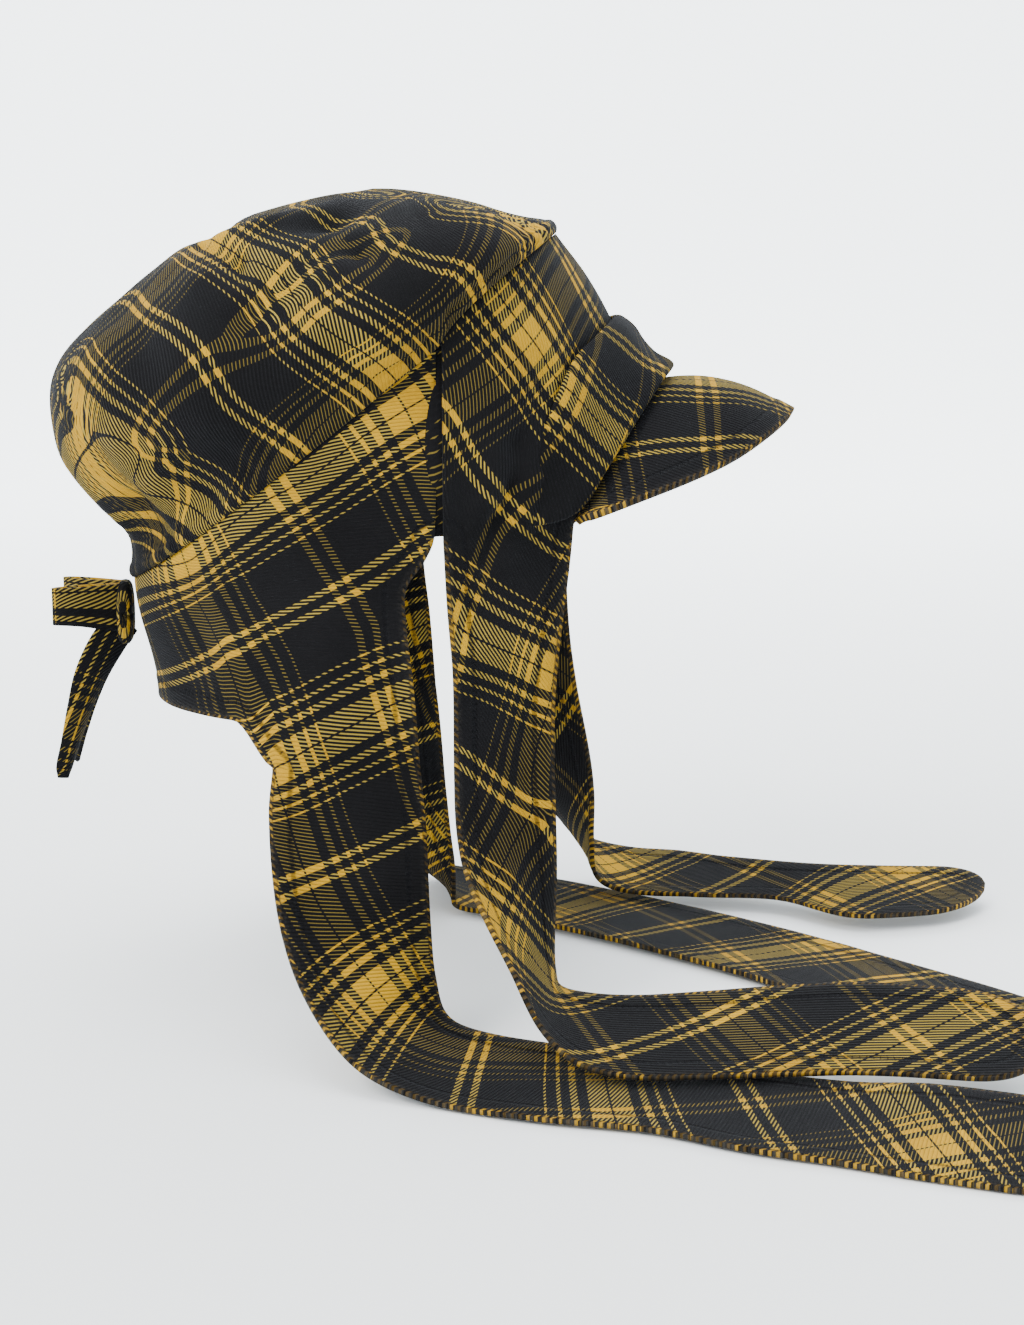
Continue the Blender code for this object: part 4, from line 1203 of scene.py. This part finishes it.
def add_cloth(name, patches, wall, nodes, slack=0.0, hem=True, ring=False, gathers=0.0,
              welt=0.0, free_hems=True, step=4):
    """One piece of cloth from patches of spots, with its folds, wall, stripes and hems.

    Slack is the depth of its soft unevenness, gathers and welt that of the ripples and of the
    raised rim along its seam. Free hems run only where no neighbour is sewn on.
    """
    places = {}
    spots = []
    weave = []
    faces = []

    def index_of(spot, lies):
        key = tuple(round(value, 6) for value in spot.place)
        if key not in places:
            places[key] = len(spots)
            spots.append(spot)
            weave.append(lies)
        return places[key]

    if name in WEAVE_TURNS:
        lays = weave_places(name, patches, step)
    else:
        lays = [
            [[(spot.s + STRIP_START, spot.t) for spot in row] for row in patch] for patch in patches
        ]
    for patch, lay in zip(patches, lays):
        grid = [[index_of(spot, at) for spot, at in zip(*pair)] for pair in zip(patch, lay)]
        if ring:
            grid.append(grid[0])
        for upper, lower in zip(grid, grid[1:]):
            for k in range(len(upper) - 1):
                corners = []
                for corner in (upper[k], lower[k], lower[k + 1], upper[k + 1]):
                    if corner not in corners:
                        corners.append(corner)
                if len(corners) > 2:
                    faces.append(corners)
    mesh = bpy.data.meshes.new(name)
    mesh.from_pydata([tuple(spot.place) for spot in spots], [], faces)
    mesh.update()
    edges = hem_places(mesh, False)
    if not hem:
        hems = [(FAR_FROM_HEM, 0.0)] * len(edges)
    elif free_hems:
        hems = hem_places(mesh, True)
    else:
        hems = edges

    folds = [fold for fold in FOLDS if fold.piece == name]
    normals = [item.vector.copy() for item in mesh.vertex_normals]
    for vertex, spot, normal, (edge, along) in zip(mesh.vertices, spots, normals, edges):
        still = 0.35 + 0.65 * ease(edge / 12.0) if hem else ease(edge / 9.0)
        depth = fold_depth(folds, spot.place * 1000.0) * still
        place = Vector((spot.s, spot.t, 7.0))
        depth += slack * still * (noise.noise(place / 42.0) + 0.5 * noise.noise(place / 17.0))
        depth += welt * (1.0 - ease((edge - 3.4) / 1.8)) * ease((edge + 0.8) / 1.6)
        if gathers:
            wave = math.sin(along / 1.55 + 2.4 * noise.noise(Vector((along / 21.0, 3.0, 0.0))))
            swell = 0.55 + 0.9 * noise.noise(Vector((along / 33.0, 0.0, 9.0)))
            depth += gathers * wave * max(swell, 0.0) * math.exp(-edge / 11.0) * ease(edge / 2.0)
        vertex.co += normal * depth
    mesh.materials.append(cloth())
    for layer_name, values in (("weave", weave), ("hem", hems)):
        layer = mesh.uv_layers.new(name=layer_name)
        for loop in mesh.loops:
            a, b = values[loop.vertex_index]
            layer.data[loop.index].uv = (a / SETT, b / SETT)
    mesh.shade_smooth()
    piece = bpy.data.objects.new(name, mesh)
    bpy.context.scene.collection.objects.link(piece)
    solid = piece.modifiers.new("wall", "SOLIDIFY")
    solid.thickness = wall
    solid.offset = 0.0
    if hem:
        width = mm(sizes().hem_width)
        group = piece.vertex_groups.new(name="doubled")
        for k, (edge, _) in enumerate(hems):
            group.add([k], 1.0 - ease((edge - width + 0.6) / 1.6), "REPLACE")
        solid.vertex_group = "doubled"
        solid.thickness_vertex_group = sizes().hem_step
    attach(piece, "root")
    if nodes:
        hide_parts(*nodes)
    return piece


def crown_spots():
    """The crown: its flat pattern is measured out from its middle along each way."""
    shares = spread(CROWN_COLUMNS + 1)
    seams = [front_seam(share, RIGHT) for share in shares]
    seams += [side_seam(share, RIGHT) for share in shares[::-1]][1:]
    seams += [Vector((place.x, -place.y, place.z)) for place in seams[1:-1]][::-1]
    first_row = 1.0 / 12.0
    ways = []
    for k, seam in enumerate(seams):
        along = (seams[(k + 1) % len(seams)] - seams[k - 1]).normalized()
        into = crown_point(seam, first_row) - seam
        into -= along * into.dot(along)
        ways.append(into.normalized() * SEAM_OPENING)
    columns = []
    for seam, way in zip(seams, ways):
        places = []
        for at in spread(CROWN_ROWS):
            at = at ** 1.15
            places.append(crown_point(seam, at) + way * max(1.0 - at / first_row, 0.0))
        length = 0.0
        turn = math.atan2(seam.y, seam.x - AXIS_X)
        column = []
        last = places[-1]
        for place in places[::-1]:
            length += mm((place - last).length)
            last = place
            column.append(Spot(place, length * math.cos(turn), length * math.sin(turn)))
        columns.append(column[::-1])
    middle = columns[0][-1]
    rows = [[column[k] for column in columns] for k in range(CROWN_ROWS)]
    rows[-1] = [middle] * len(columns)
    return [[row + row[:1] for row in rows]]


def front_signed(count, reach):
    """Shares and sides of the front panel from the wearer's right to the left."""
    right = [(share, RIGHT) for share in spread(count, reach, 0.0)]
    left = [(share, LEFT) for share in spread(count, 0.0, reach)]
    return right + left[1:]


def panel_pattern(share, side, down):
    """Where a place on the front panel lies on its flat pattern."""
    steps = 24
    length = 0.0
    before = panel_point(0.0, 0.5, side)
    for k in range(1, steps + 1):
        place = panel_point(share * k / steps, 0.5, side)
        length += math.hypot(place.x - before.x, place.y - before.y)
        before = place
    hem = panel_point(share, 1.0, side)
    place = panel_point(share, down, side)
    rise = (place - hem).length * (1.0 if down <= 1.0 else -1.0)
    return side * mm(length), mm(hem.z + rise)


def strap_spots(top_row, rows, side):
    """The strip that goes on from a row of spots into a long tie."""
    shares = spread(len(top_row))
    toward = -side
    shift = []
    for spot, share in zip(top_row, shares):
        shift.append(spot.place - tie_point(rows, 0.0, share, side))
    middle = len(top_row) // 2
    stations = spread(STRAP_ROWS, 0.0, 0.93) + spread(18, 0.93, 1.0)[1:]
    patch = [list(top_row)]
    length = 0.0
    last = top_row[middle].place
    for at in stations[1:]:
        fade = 1.0 - ease(at / 0.2)
        places = [
            tie_point(rows, at, share, side) + moved * fade for share, moved in zip(shares, shift)
        ]
        length += mm((places[middle] - last).length)
        last = places[middle]
        row = []
        for k, place in enumerate(places):
            away = mm((place - places[middle]).length) * (1.0 if k > middle else -1.0) * toward
            spot = top_row[k]
            s = lerp(top_row[middle].s + away, spot.s, fade)
            t = lerp(top_row[middle].t, spot.t, fade) - length
            row.append(Spot(place, s, t))
        patch.append(row)
    return patch


def front_spots():
    """The front panel and the two ties that it runs out into, in one cloth."""
    columns = front_signed(PANEL_COLUMNS + 1, side_edge_share())
    top = SEAM_GAP / (SEAM_FRONT_Z - HEM_FRONT_Z)
    panel = []
    for down in spread(PANEL_ROWS, top, 1.0):
        row = []
        for share, side in columns:
            s, t = panel_pattern(share, side, down)
            row.append(Spot(panel_point(share, down, side), s, t))
        panel.append(row)
    patches = [panel]
    hem = panel[-1]
    count = 0
    while columns[count][0] > TEMPLE_SHARE:
        count += 1
    for side, row, ties in (
        (RIGHT, hem[:count + 1], FRONT_TIE_RIGHT),
        (LEFT, hem[:-count - 2:-1], FRONT_TIE_LEFT),
    ):
        patches.append(strap_spots(row, ties, side))
    return patches


def flap_spots(side, ties):
    """A side flap and its long rear tie, in one cloth."""
    rear = 0.0
    while side_seam(rear, side).x < FLAP_STRAP_REAR_X:
        rear += 0.001
    trim = SEAM_GAP / 2 / (HEAD_SIDE * math.pi / 2)
    shares = spread(BAND_COLUMNS - STRAP_COLUMNS + 1, trim, rear)
    shares += spread(STRAP_COLUMNS + 1, rear, 1.0)[1:]
    toward = -side
    band = []
    for down in spread(BAND_ROWS):
        row = []
        length = 0.0
        before = None
        for share in shares:
            place = flap_point(share, down, side)
            if before is not None:
                length += mm(math.hypot(place.x - before.x, place.y - before.y))
            before = place
            row.append(Spot(place, toward * length, mm(place.z)))
        band.append(row)
    strap = strap_spots(band[-1][BAND_COLUMNS - STRAP_COLUMNS:], ties, side)
    return [band, strap]


def cuff_spots():
    """The cuff, a pleat in the front panel's cloth that dies away into it at the temples."""
    columns = front_signed(CUFF_COLUMNS // 2 + 1, CUFF_RUN[-1].at)
    grid = []
    for share, side in columns:
        sunk = CUFF_SINK * ease((share - CUFF_DYING) / (CUFF_RUN[-1].at - CUFF_DYING))
        away = panel_out(share, side) * sunk
        grid.append([cuff_point(share, at, side) - away for at in spread(CUFF_ROWS)])
    rows = [[] for _ in range(CUFF_ROWS)]
    for (share, side), column in zip(columns, grid):
        s, t = panel_pattern(share, side, smooth(CUFF_RUN, "down", share) - CUFF_EASE * share)
        last = column[0]
        for k, place in enumerate(column):
            t -= mm((place - last).length)
            last = place
            rows[k].append(Spot(place, s, t))
    return [rows]


def peak_spots():
    """The peak, its pattern measured out from its middle line."""
    turns = spread(PEAK_COLUMNS + 1, -86.0, 86.0)
    rows = []
    for out in spread(PEAK_ROWS):
        places = []
        for turn in turns:
            lift = CORNER_LIFT * ease((abs(turn) - 40.0) / 46.0) * out
            places.append(peak_point(turn, out) + Vector((0.0, 0.0, lift)))
        middle = len(places) // 2
        lengths = [0.0] * len(places)
        for k in range(middle + 1, len(places)):
            step = places[k] - places[k - 1]
            lengths[k] = lengths[k - 1] + mm(math.hypot(step.y, step.z))
        for k in range(middle - 1, -1, -1):
            step = places[k] - places[k + 1]
            lengths[k] = lengths[k + 1] - mm(math.hypot(step.y, step.z))
        rows.append([Spot(place, mm(place.x), length) for place, length in zip(places, lengths)])
    return [rows]


class CAP_OT_crown(bpy.types.Operator):
    """Build the puffed crown, gathered into its seam"""

    bl_idname = "plaid_cap.crown"
    bl_label = "Crown"

    def execute(self, context):
        crown = add_cloth(
            "crown_cloth", crown_spots(), CLOTH_WALL, ["crown"],
            slack=0.0010, hem=False, gathers=sizes().gather_depth, welt=0.0009,
        )
        return {"FINISHED"}


def inward(place, away):
    """A place on the cap's inner face, behind a place on its cloth."""
    outward = Vector((place.x - AXIS_X, place.y, 0.0)).normalized()
    return place - outward * away


def tape_spots(rows):
    """A tape from rows of places, its pattern measured along its first row."""
    grid = []
    for across, row in enumerate(rows):
        length = 0.0
        last = row[0]
        line = []
        for place in row:
            length += mm((place - last).length)
            last = place
            line.append(Spot(place, across * 4.0 - TAPE_START, length))
        grid.append(line)
    return [grid]


class CAP_OT_seam_tapes(bpy.types.Operator):
    """Build the tapes that back the crown seam, the two side seams and the nape seam"""

    bl_idname = "plaid_cap.seam_tapes"
    bl_label = "Seam tapes"

    def execute(self, context):
        above, on_seam, below = [], [], []
        for side in (RIGHT, LEFT):
            stations = [("front", share) for share in spread(41)]
            stations += [("side", share) for share in spread(61, 1.0, 0.0)][1:]
            if side == LEFT:
                stations = stations[::-1][1:-1]
            for part, share in stations:
                seam = (front_seam if part == "front" else side_seam)(share, side)
                lower = (
                    panel_point(share, 0.07, side) if part == "front"
                    else flap_point(share, 0.04, side)
                )
                above.append(inward(crown_point(seam, 0.045), TAPE_DEPTH))
                on_seam.append(inward(seam, TAPE_DEPTH * 1.1))
                below.append(inward(lower, TAPE_DEPTH))
        for row in (above, on_seam, below):
            row.append(row[0])
        crown_tape = add_cloth("crown_seam_tape", tape_spots([above, on_seam, below]),
                               TAPE_WALL, [], hem=False)
        for side, word in ((RIGHT, "right"), (LEFT, "left")):
            rows = [[], [], []]
            for down in spread(31, 0.03, 0.97):
                place = panel_point(1.0, down, side)
                low = (SEAM_SIDE_Z - place.z) / (SEAM_SIDE_Z - FLAP_STRAP_Z)
                rows[0].append(inward(panel_point(0.92, down, side), TAPE_DEPTH))
                rows[1].append(inward(place, TAPE_DEPTH * 1.1))
                rows[2].append(inward(flap_point(0.955, low, side), TAPE_DEPTH))
            tape = add_cloth(word + "_side_seam_tape", tape_spots(rows), TAPE_WALL, [], hem=False)
        rows = [[], [], []]
        for down in spread(15, 0.04, 0.96):
            places = [flap_point(BACK_TAPE_SHARE, down, side) for side in (RIGHT, LEFT)]
            rows[0].append(inward(places[0], TAPE_DEPTH))
            rows[1].append(inward((places[0] + places[1]) / 2, TAPE_DEPTH))
            rows[2].append(inward(places[1], TAPE_DEPTH))
        tape = add_cloth("back_seam_tape", tape_spots(rows), TAPE_WALL, [], hem=False)
        return {"FINISHED"}


class CAP_OT_front_band(bpy.types.Operator):
    """Build the front panel with the two front ties that it runs out into"""

    bl_idname = "plaid_cap.front_band"
    bl_label = "Front band and ties"

    def execute(self, context):
        band = add_cloth(
            "front_band", front_spots(), CLOTH_WALL,
            ["front_panel", "right_front_tie", "left_front_tie"], slack=0.0005,
        )
        return {"FINISHED"}


class CAP_OT_cuff(bpy.types.Operator):
    """Build the pleat over the root of the peak"""

    bl_idname = "plaid_cap.cuff"
    bl_label = "Forehead cuff"

    def execute(self, context):
        cuff = add_cloth(
            "cuff_cloth", cuff_spots(), CUFF_WALL, ["forehead_cuff"],
            slack=0.0005, hem=False,
        )
        return {"FINISHED"}


class CAP_OT_peak(bpy.types.Operator):
    """Build the stiff peak"""

    bl_idname = "plaid_cap.peak"
    bl_label = "Peak"

    def execute(self, context):
        peak = add_cloth(
            "peak_cloth", peak_spots(), PEAK_WALL, ["peak"], slack=0.0004, free_hems=False,
        )
        return {"FINISHED"}


class CAP_OT_side_flaps(bpy.types.Operator):
    """Build the two side flaps, each cut in one with its long rear tie"""

    bl_idname = "plaid_cap.side_flaps"
    bl_label = "Side flaps and ties"

    def execute(self, context):
        for side, word, ties in ((RIGHT, "right", REAR_TIE_RIGHT), (LEFT, "left", REAR_TIE_LEFT)):
            name = word + "_side_flap"
            flap = add_cloth(
                word + "_flap_cloth", flap_spots(side, ties), CLOTH_WALL,
                [name], slack=0.0006,
            )
        return {"FINISHED"}


def turned(rows):
    """One patch of the rows, slid round the back of the head to the wearer's right."""
    turn = math.radians(BOW_TURN)
    for row in rows:
        for k, spot in enumerate(row):
            x = spot.place.x - AXIS_X
            y = spot.place.y
            place = Vector((
                AXIS_X + x * math.cos(turn) - y * math.sin(turn),
                x * math.sin(turn) + y * math.cos(turn),
                spot.place.z,
            ))
            row[k] = spot._replace(place=place)
    return [rows]


def knot_spots():
    """The knot: the strip wound round the middle of the bow, as a soft bean."""
    centre = Vector((AXIS_X - HEAD_BACK - CLOTH_WALL / 2 - SEAM_GAP - KNOT_DEPTH / 2, 0.0, BOW_Z))
    rows = []
    for angle in spread(29, 0.0, 2.0 * math.pi)[:-1]:
        away = abs(math.cos(angle)) ** 0.6 * math.copysign(1.0, math.cos(angle))
        up = abs(math.sin(angle)) ** 0.75 * math.copysign(1.0, math.sin(angle))
        row = []
        for across in spread(13, -1.0, 1.0):
            belly = max(1.0 - across ** 4, 0.0) ** 0.5 * 0.94 + 0.06
            depth = (KNOT_DEPTH - BOW_WALL) / 2 * KNOT_PLUMP * belly
            place = centre + Vector((
                away * depth - (KNOT_PLUMP - 1.0) * KNOT_DEPTH / 2,
                across * KNOT_WIDTH * KNOT_SPREAD,
                up * (KNOT_HEIGHT / 2 - KNOT_INSET) * belly,
            ))
            row.append(Spot(place, mm(across * KNOT_WIDTH / 2), angle * 8.0))
        rows.append(row)
    return turned(rows)


def loop_spots(side):
    """A loop of the bow, lower and taller towards the knot."""
    start, away = bow_frame(side)
    across = Vector((-away.y, away.x, 0.0))
    rows = []
    for angle in spread(61, 0.0, 2.0 * math.pi)[:-1]:
        along = BOW_LOOP_LENGTH * (1.0 - math.cos(angle)) / 2
        thick = BOW_LOOP_THICKNESS / 2 * math.sin(angle) * (0.55 + 0.45 * along / BOW_LOOP_LENGTH)
        row = []
        for k in spread(13):
            place = start + away * (along - LOOP_TUCK) + across * thick
            droop = LOOP_DROOP * (1.0 - k) * math.exp(-(along / BOW_LOOP_LENGTH * 1.7) ** 2)
            place.z += BOW_STRIP * LOOP_LIFT + BOW_STRIP * LOOP_HEIGHT * (k - 0.5) - droop
            row.append(Spot(place, mm(BOW_STRIP) * k, mm(BOW_LOOP_LENGTH) * angle / math.pi))
        rows.append(row)
    return turned(rows)


def tail_spots(side):
    """A tail of the bow, curled along its length and narrowed at its end."""
    start, away = bow_frame(side)
    start.z += BOW_STRIP * (LOOP_LIFT - 0.5) - BOW_STRIP * 0.41

    def middle(at):
        back = away * smooth(BOW_TAIL, "back", at)
        return start + (back - Vector((0.0, 0.0, smooth(BOW_TAIL, "down", at)))) * BOW_TAIL_LENGTH

    rows = []
    for at in spread(70):
        along = (middle(min(at + 0.02, 1.0)) - middle(max(at - 0.02, 0.0))).normalized()
        turn = math.radians(smooth(BOW_TAIL, "turn", at))
        way = Vector((-math.cos(turn), side * math.sin(turn), 0.0))
        way = (way - along * way.dot(along)).normalized()
        facing = along.cross(way)
        width = BOW_STRIP * smooth(BOW_TAIL, "width", at)
        row = []
        for share in spread(15):
            curl = 0.0022 * math.sin(math.pi * share) * ease(at * 3.0)
            place = middle(at) + way * width * (share - 0.5) + facing * curl * side
            row.append(Spot(place, mm(width) * share - TAIL_START, -mm(BOW_TAIL_LENGTH) * at))
        rows.append(row)
    return turned(rows)


class CAP_OT_back_bow(bpy.types.Operator):
    """Build the bow at the nape: its knot, two loops and two tails"""

    bl_idname = "plaid_cap.back_bow"
    bl_label = "Back bow"

    def execute(self, context):
        knot = add_cloth(
            "bow_knot_cloth", knot_spots(), BOW_WALL, ["back_bow_knot"],
            hem=False, ring=True,
        )
        for side, word in ((RIGHT, "right"), (LEFT, "left")):
            name = "back_bow_" + word + "_loop"
            loop = add_cloth(
                "bow_" + word + "_loop_cloth", loop_spots(side), BOW_WALL, [name],
                hem=False, ring=True,
            )
            name = "back_bow_" + word + "_tail"
            tail = add_cloth(
                "bow_" + word + "_tail_cloth", tail_spots(side), BOW_WALL, [name], hem=False,
            )
        return {"FINISHED"}


# The camera at the photo's angle: its place, how far it looks down in degrees, its focal length
CAMERA_PLACE = (0.049, -0.900, 0.120)
CAMERA_TILT = 10.7
CAMERA_FOCAL = 58.2

# The floor, which curves up into the backdrop
FLOOR_Z = -0.1882
FLOOR_REACH = 3.2
COVE = 1.4
WALL_HEIGHT = 4.0


def soft_light(name, place, toward, size, power, tint):
    """A square lamp at a place, turned toward another place."""
    data = bpy.data.lights.new(name, "AREA")
    data.shape = "RECTANGLE"
    data.size = size[0]
    data.size_y = size[1]
    data.energy = power
    data.color = tint
    light = bpy.data.objects.new(name, data)
    bpy.context.scene.collection.objects.link(light)
    light.location = place
    light.rotation_euler = (Vector(toward) - Vector(place)).to_track_quat("-Z", "Y").to_euler()
    return light


class CAP_OT_stage(bpy.types.Operator):
    """Set out the pale floor, the soft studio lights and the camera"""

    bl_idname = "plaid_cap.stage"
    bl_label = "Floor, lights and camera"

    def execute(self, context):
        scene = context.scene
        mesh = bpy.data.meshes.new("floor")
        profile = [(-FLOOR_REACH, 0.0), (FLOOR_REACH - COVE, 0.0)]
        for angle in spread(25, 0.0, math.pi / 2)[1:]:
            profile.append((
                FLOOR_REACH - COVE + COVE * math.sin(angle), COVE - COVE * math.cos(angle),
            ))
        profile.append((FLOOR_REACH, WALL_HEIGHT))
        corners = [
            (x, y, FLOOR_Z + z) for y, z in profile for x in (-FLOOR_REACH * 1.5, FLOOR_REACH * 1.5)
        ]
        faces = [(2 * k, 2 * k + 1, 2 * k + 3, 2 * k + 2) for k in range(len(profile) - 1)]
        mesh.from_pydata(corners, [], faces)
        mesh.shade_smooth()
        floor = bpy.data.objects.new("floor", mesh)
        scene.collection.objects.link(floor)
        material = bpy.data.materials.new("pale_floor")
        wiring = Wiring(material)
        tone = colours().floor
        place = wiring.tree.nodes.new("ShaderNodeTexCoord").outputs["Object"]
        wiring.join(
            wiring.mix(
                wiring.noise(place, 9.0, 3.0),
                tuple(c * 0.985 for c in tone) + (1.0,),
                tuple(min(c * 1.01, 1.0) for c in tone) + (1.0,),
            ),
            wiring.shader.inputs["Base Color"],
        )
        wiring.shader.inputs["Roughness"].default_value = 0.9
        wiring.shader.inputs["Emission Color"].default_value = (0.90, 0.95, 0.97, 1.0)
        depth = wiring.math("DIVIDE", wiring.math("ADD", wiring.split(place)[1], 0.2), FLOOR_REACH)
        glow = wiring.math("MULTIPLY", wiring.ramp(depth, [(0.0, 0.0), (0.8, 1.0)], "EASE"), 2.4)
        wiring.join(glow, wiring.shader.inputs["Emission Strength"])
        mesh.materials.append(material)

        world = bpy.data.worlds.new("studio")
        scene.world = world
        world.use_nodes = True
        background = world.node_tree.nodes["Background"]
        background.inputs["Color"].default_value = (0.90, 0.95, 0.98, 1.0)
        background.inputs["Strength"].default_value = 1.7

        middle = (0.0, 0.0, 0.02)
        soft_light("key_light", (-1.5, -1.5, 1.9), middle, (1.5, 1.2), 92.0, (1.0, 0.98, 0.95))
        soft_light("top_light", (0.1, -0.2, 2.2), middle, (1.8, 1.4), 38.0, (1.0, 1.0, 1.0))
        soft_light("back_light", (0.3, 1.7, 1.4), middle, (1.6, 0.8), 14.0, (1.0, 1.0, 1.0))

        data = bpy.data.cameras.new("camera")
        data.sensor_fit = "AUTO"
        data.sensor_width = 36.0
        data.lens = CAMERA_FOCAL
        data.clip_start = 0.02
        data.clip_end = 40.0
        data.dof.use_dof = False
        camera = bpy.data.objects.new("camera", data)
        scene.collection.objects.link(camera)
        camera.location = CAMERA_PLACE
        camera.rotation_euler = (math.radians(90.0 - CAMERA_TILT), 0.0, 0.0)
        scene.camera = camera
        return {"FINISHED"}


class CAP_PT_panel(bpy.types.Panel):
    """The cap's builders, one button for each group of pieces"""

    bl_idname = "CAP_PT_panel"
    bl_label = "Plaid cap"
    bl_space_type = "VIEW_3D"
    bl_region_type = "UI"
    bl_category = "Plaid cap"

    def draw(self, context):
        for group in (context.scene.plaid_cap_sizes, context.scene.plaid_cap_colours):
            for name in group.bl_rna.properties.keys():
                if name not in ("rna_type", "name"):
                    self.layout.prop(group, name)
        for operator in BUILDERS:
            self.layout.operator(operator.bl_idname)


BUILDERS = (
    CAP_OT_stage,
    CAP_OT_crown,
    CAP_OT_side_flaps,
    CAP_OT_front_band,
    CAP_OT_cuff,
    CAP_OT_peak,
    CAP_OT_back_bow,
    CAP_OT_seam_tapes,
)
CLASSES = (CapSizes, CapColours) + BUILDERS + (CAP_PT_panel,)


def register():
    for item in CLASSES:
        bpy.utils.register_class(item)
    bpy.types.Scene.plaid_cap_sizes = bpy.props.PointerProperty(type=CapSizes)
    bpy.types.Scene.plaid_cap_colours = bpy.props.PointerProperty(type=CapColours)


def unregister():
    del bpy.types.Scene.plaid_cap_colours
    del bpy.types.Scene.plaid_cap_sizes
    for item in reversed(CLASSES):
        bpy.utils.unregister_class(item)


def main():
    register()
    bpy.ops.plaid_cap.stage()
    bpy.ops.plaid_cap.crown()
    bpy.ops.plaid_cap.side_flaps()
    bpy.ops.plaid_cap.front_band()
    bpy.ops.plaid_cap.cuff()
    bpy.ops.plaid_cap.peak()
    bpy.ops.plaid_cap.back_bow()
    bpy.ops.plaid_cap.seam_tapes()


if __name__ == "__main__":
    main()
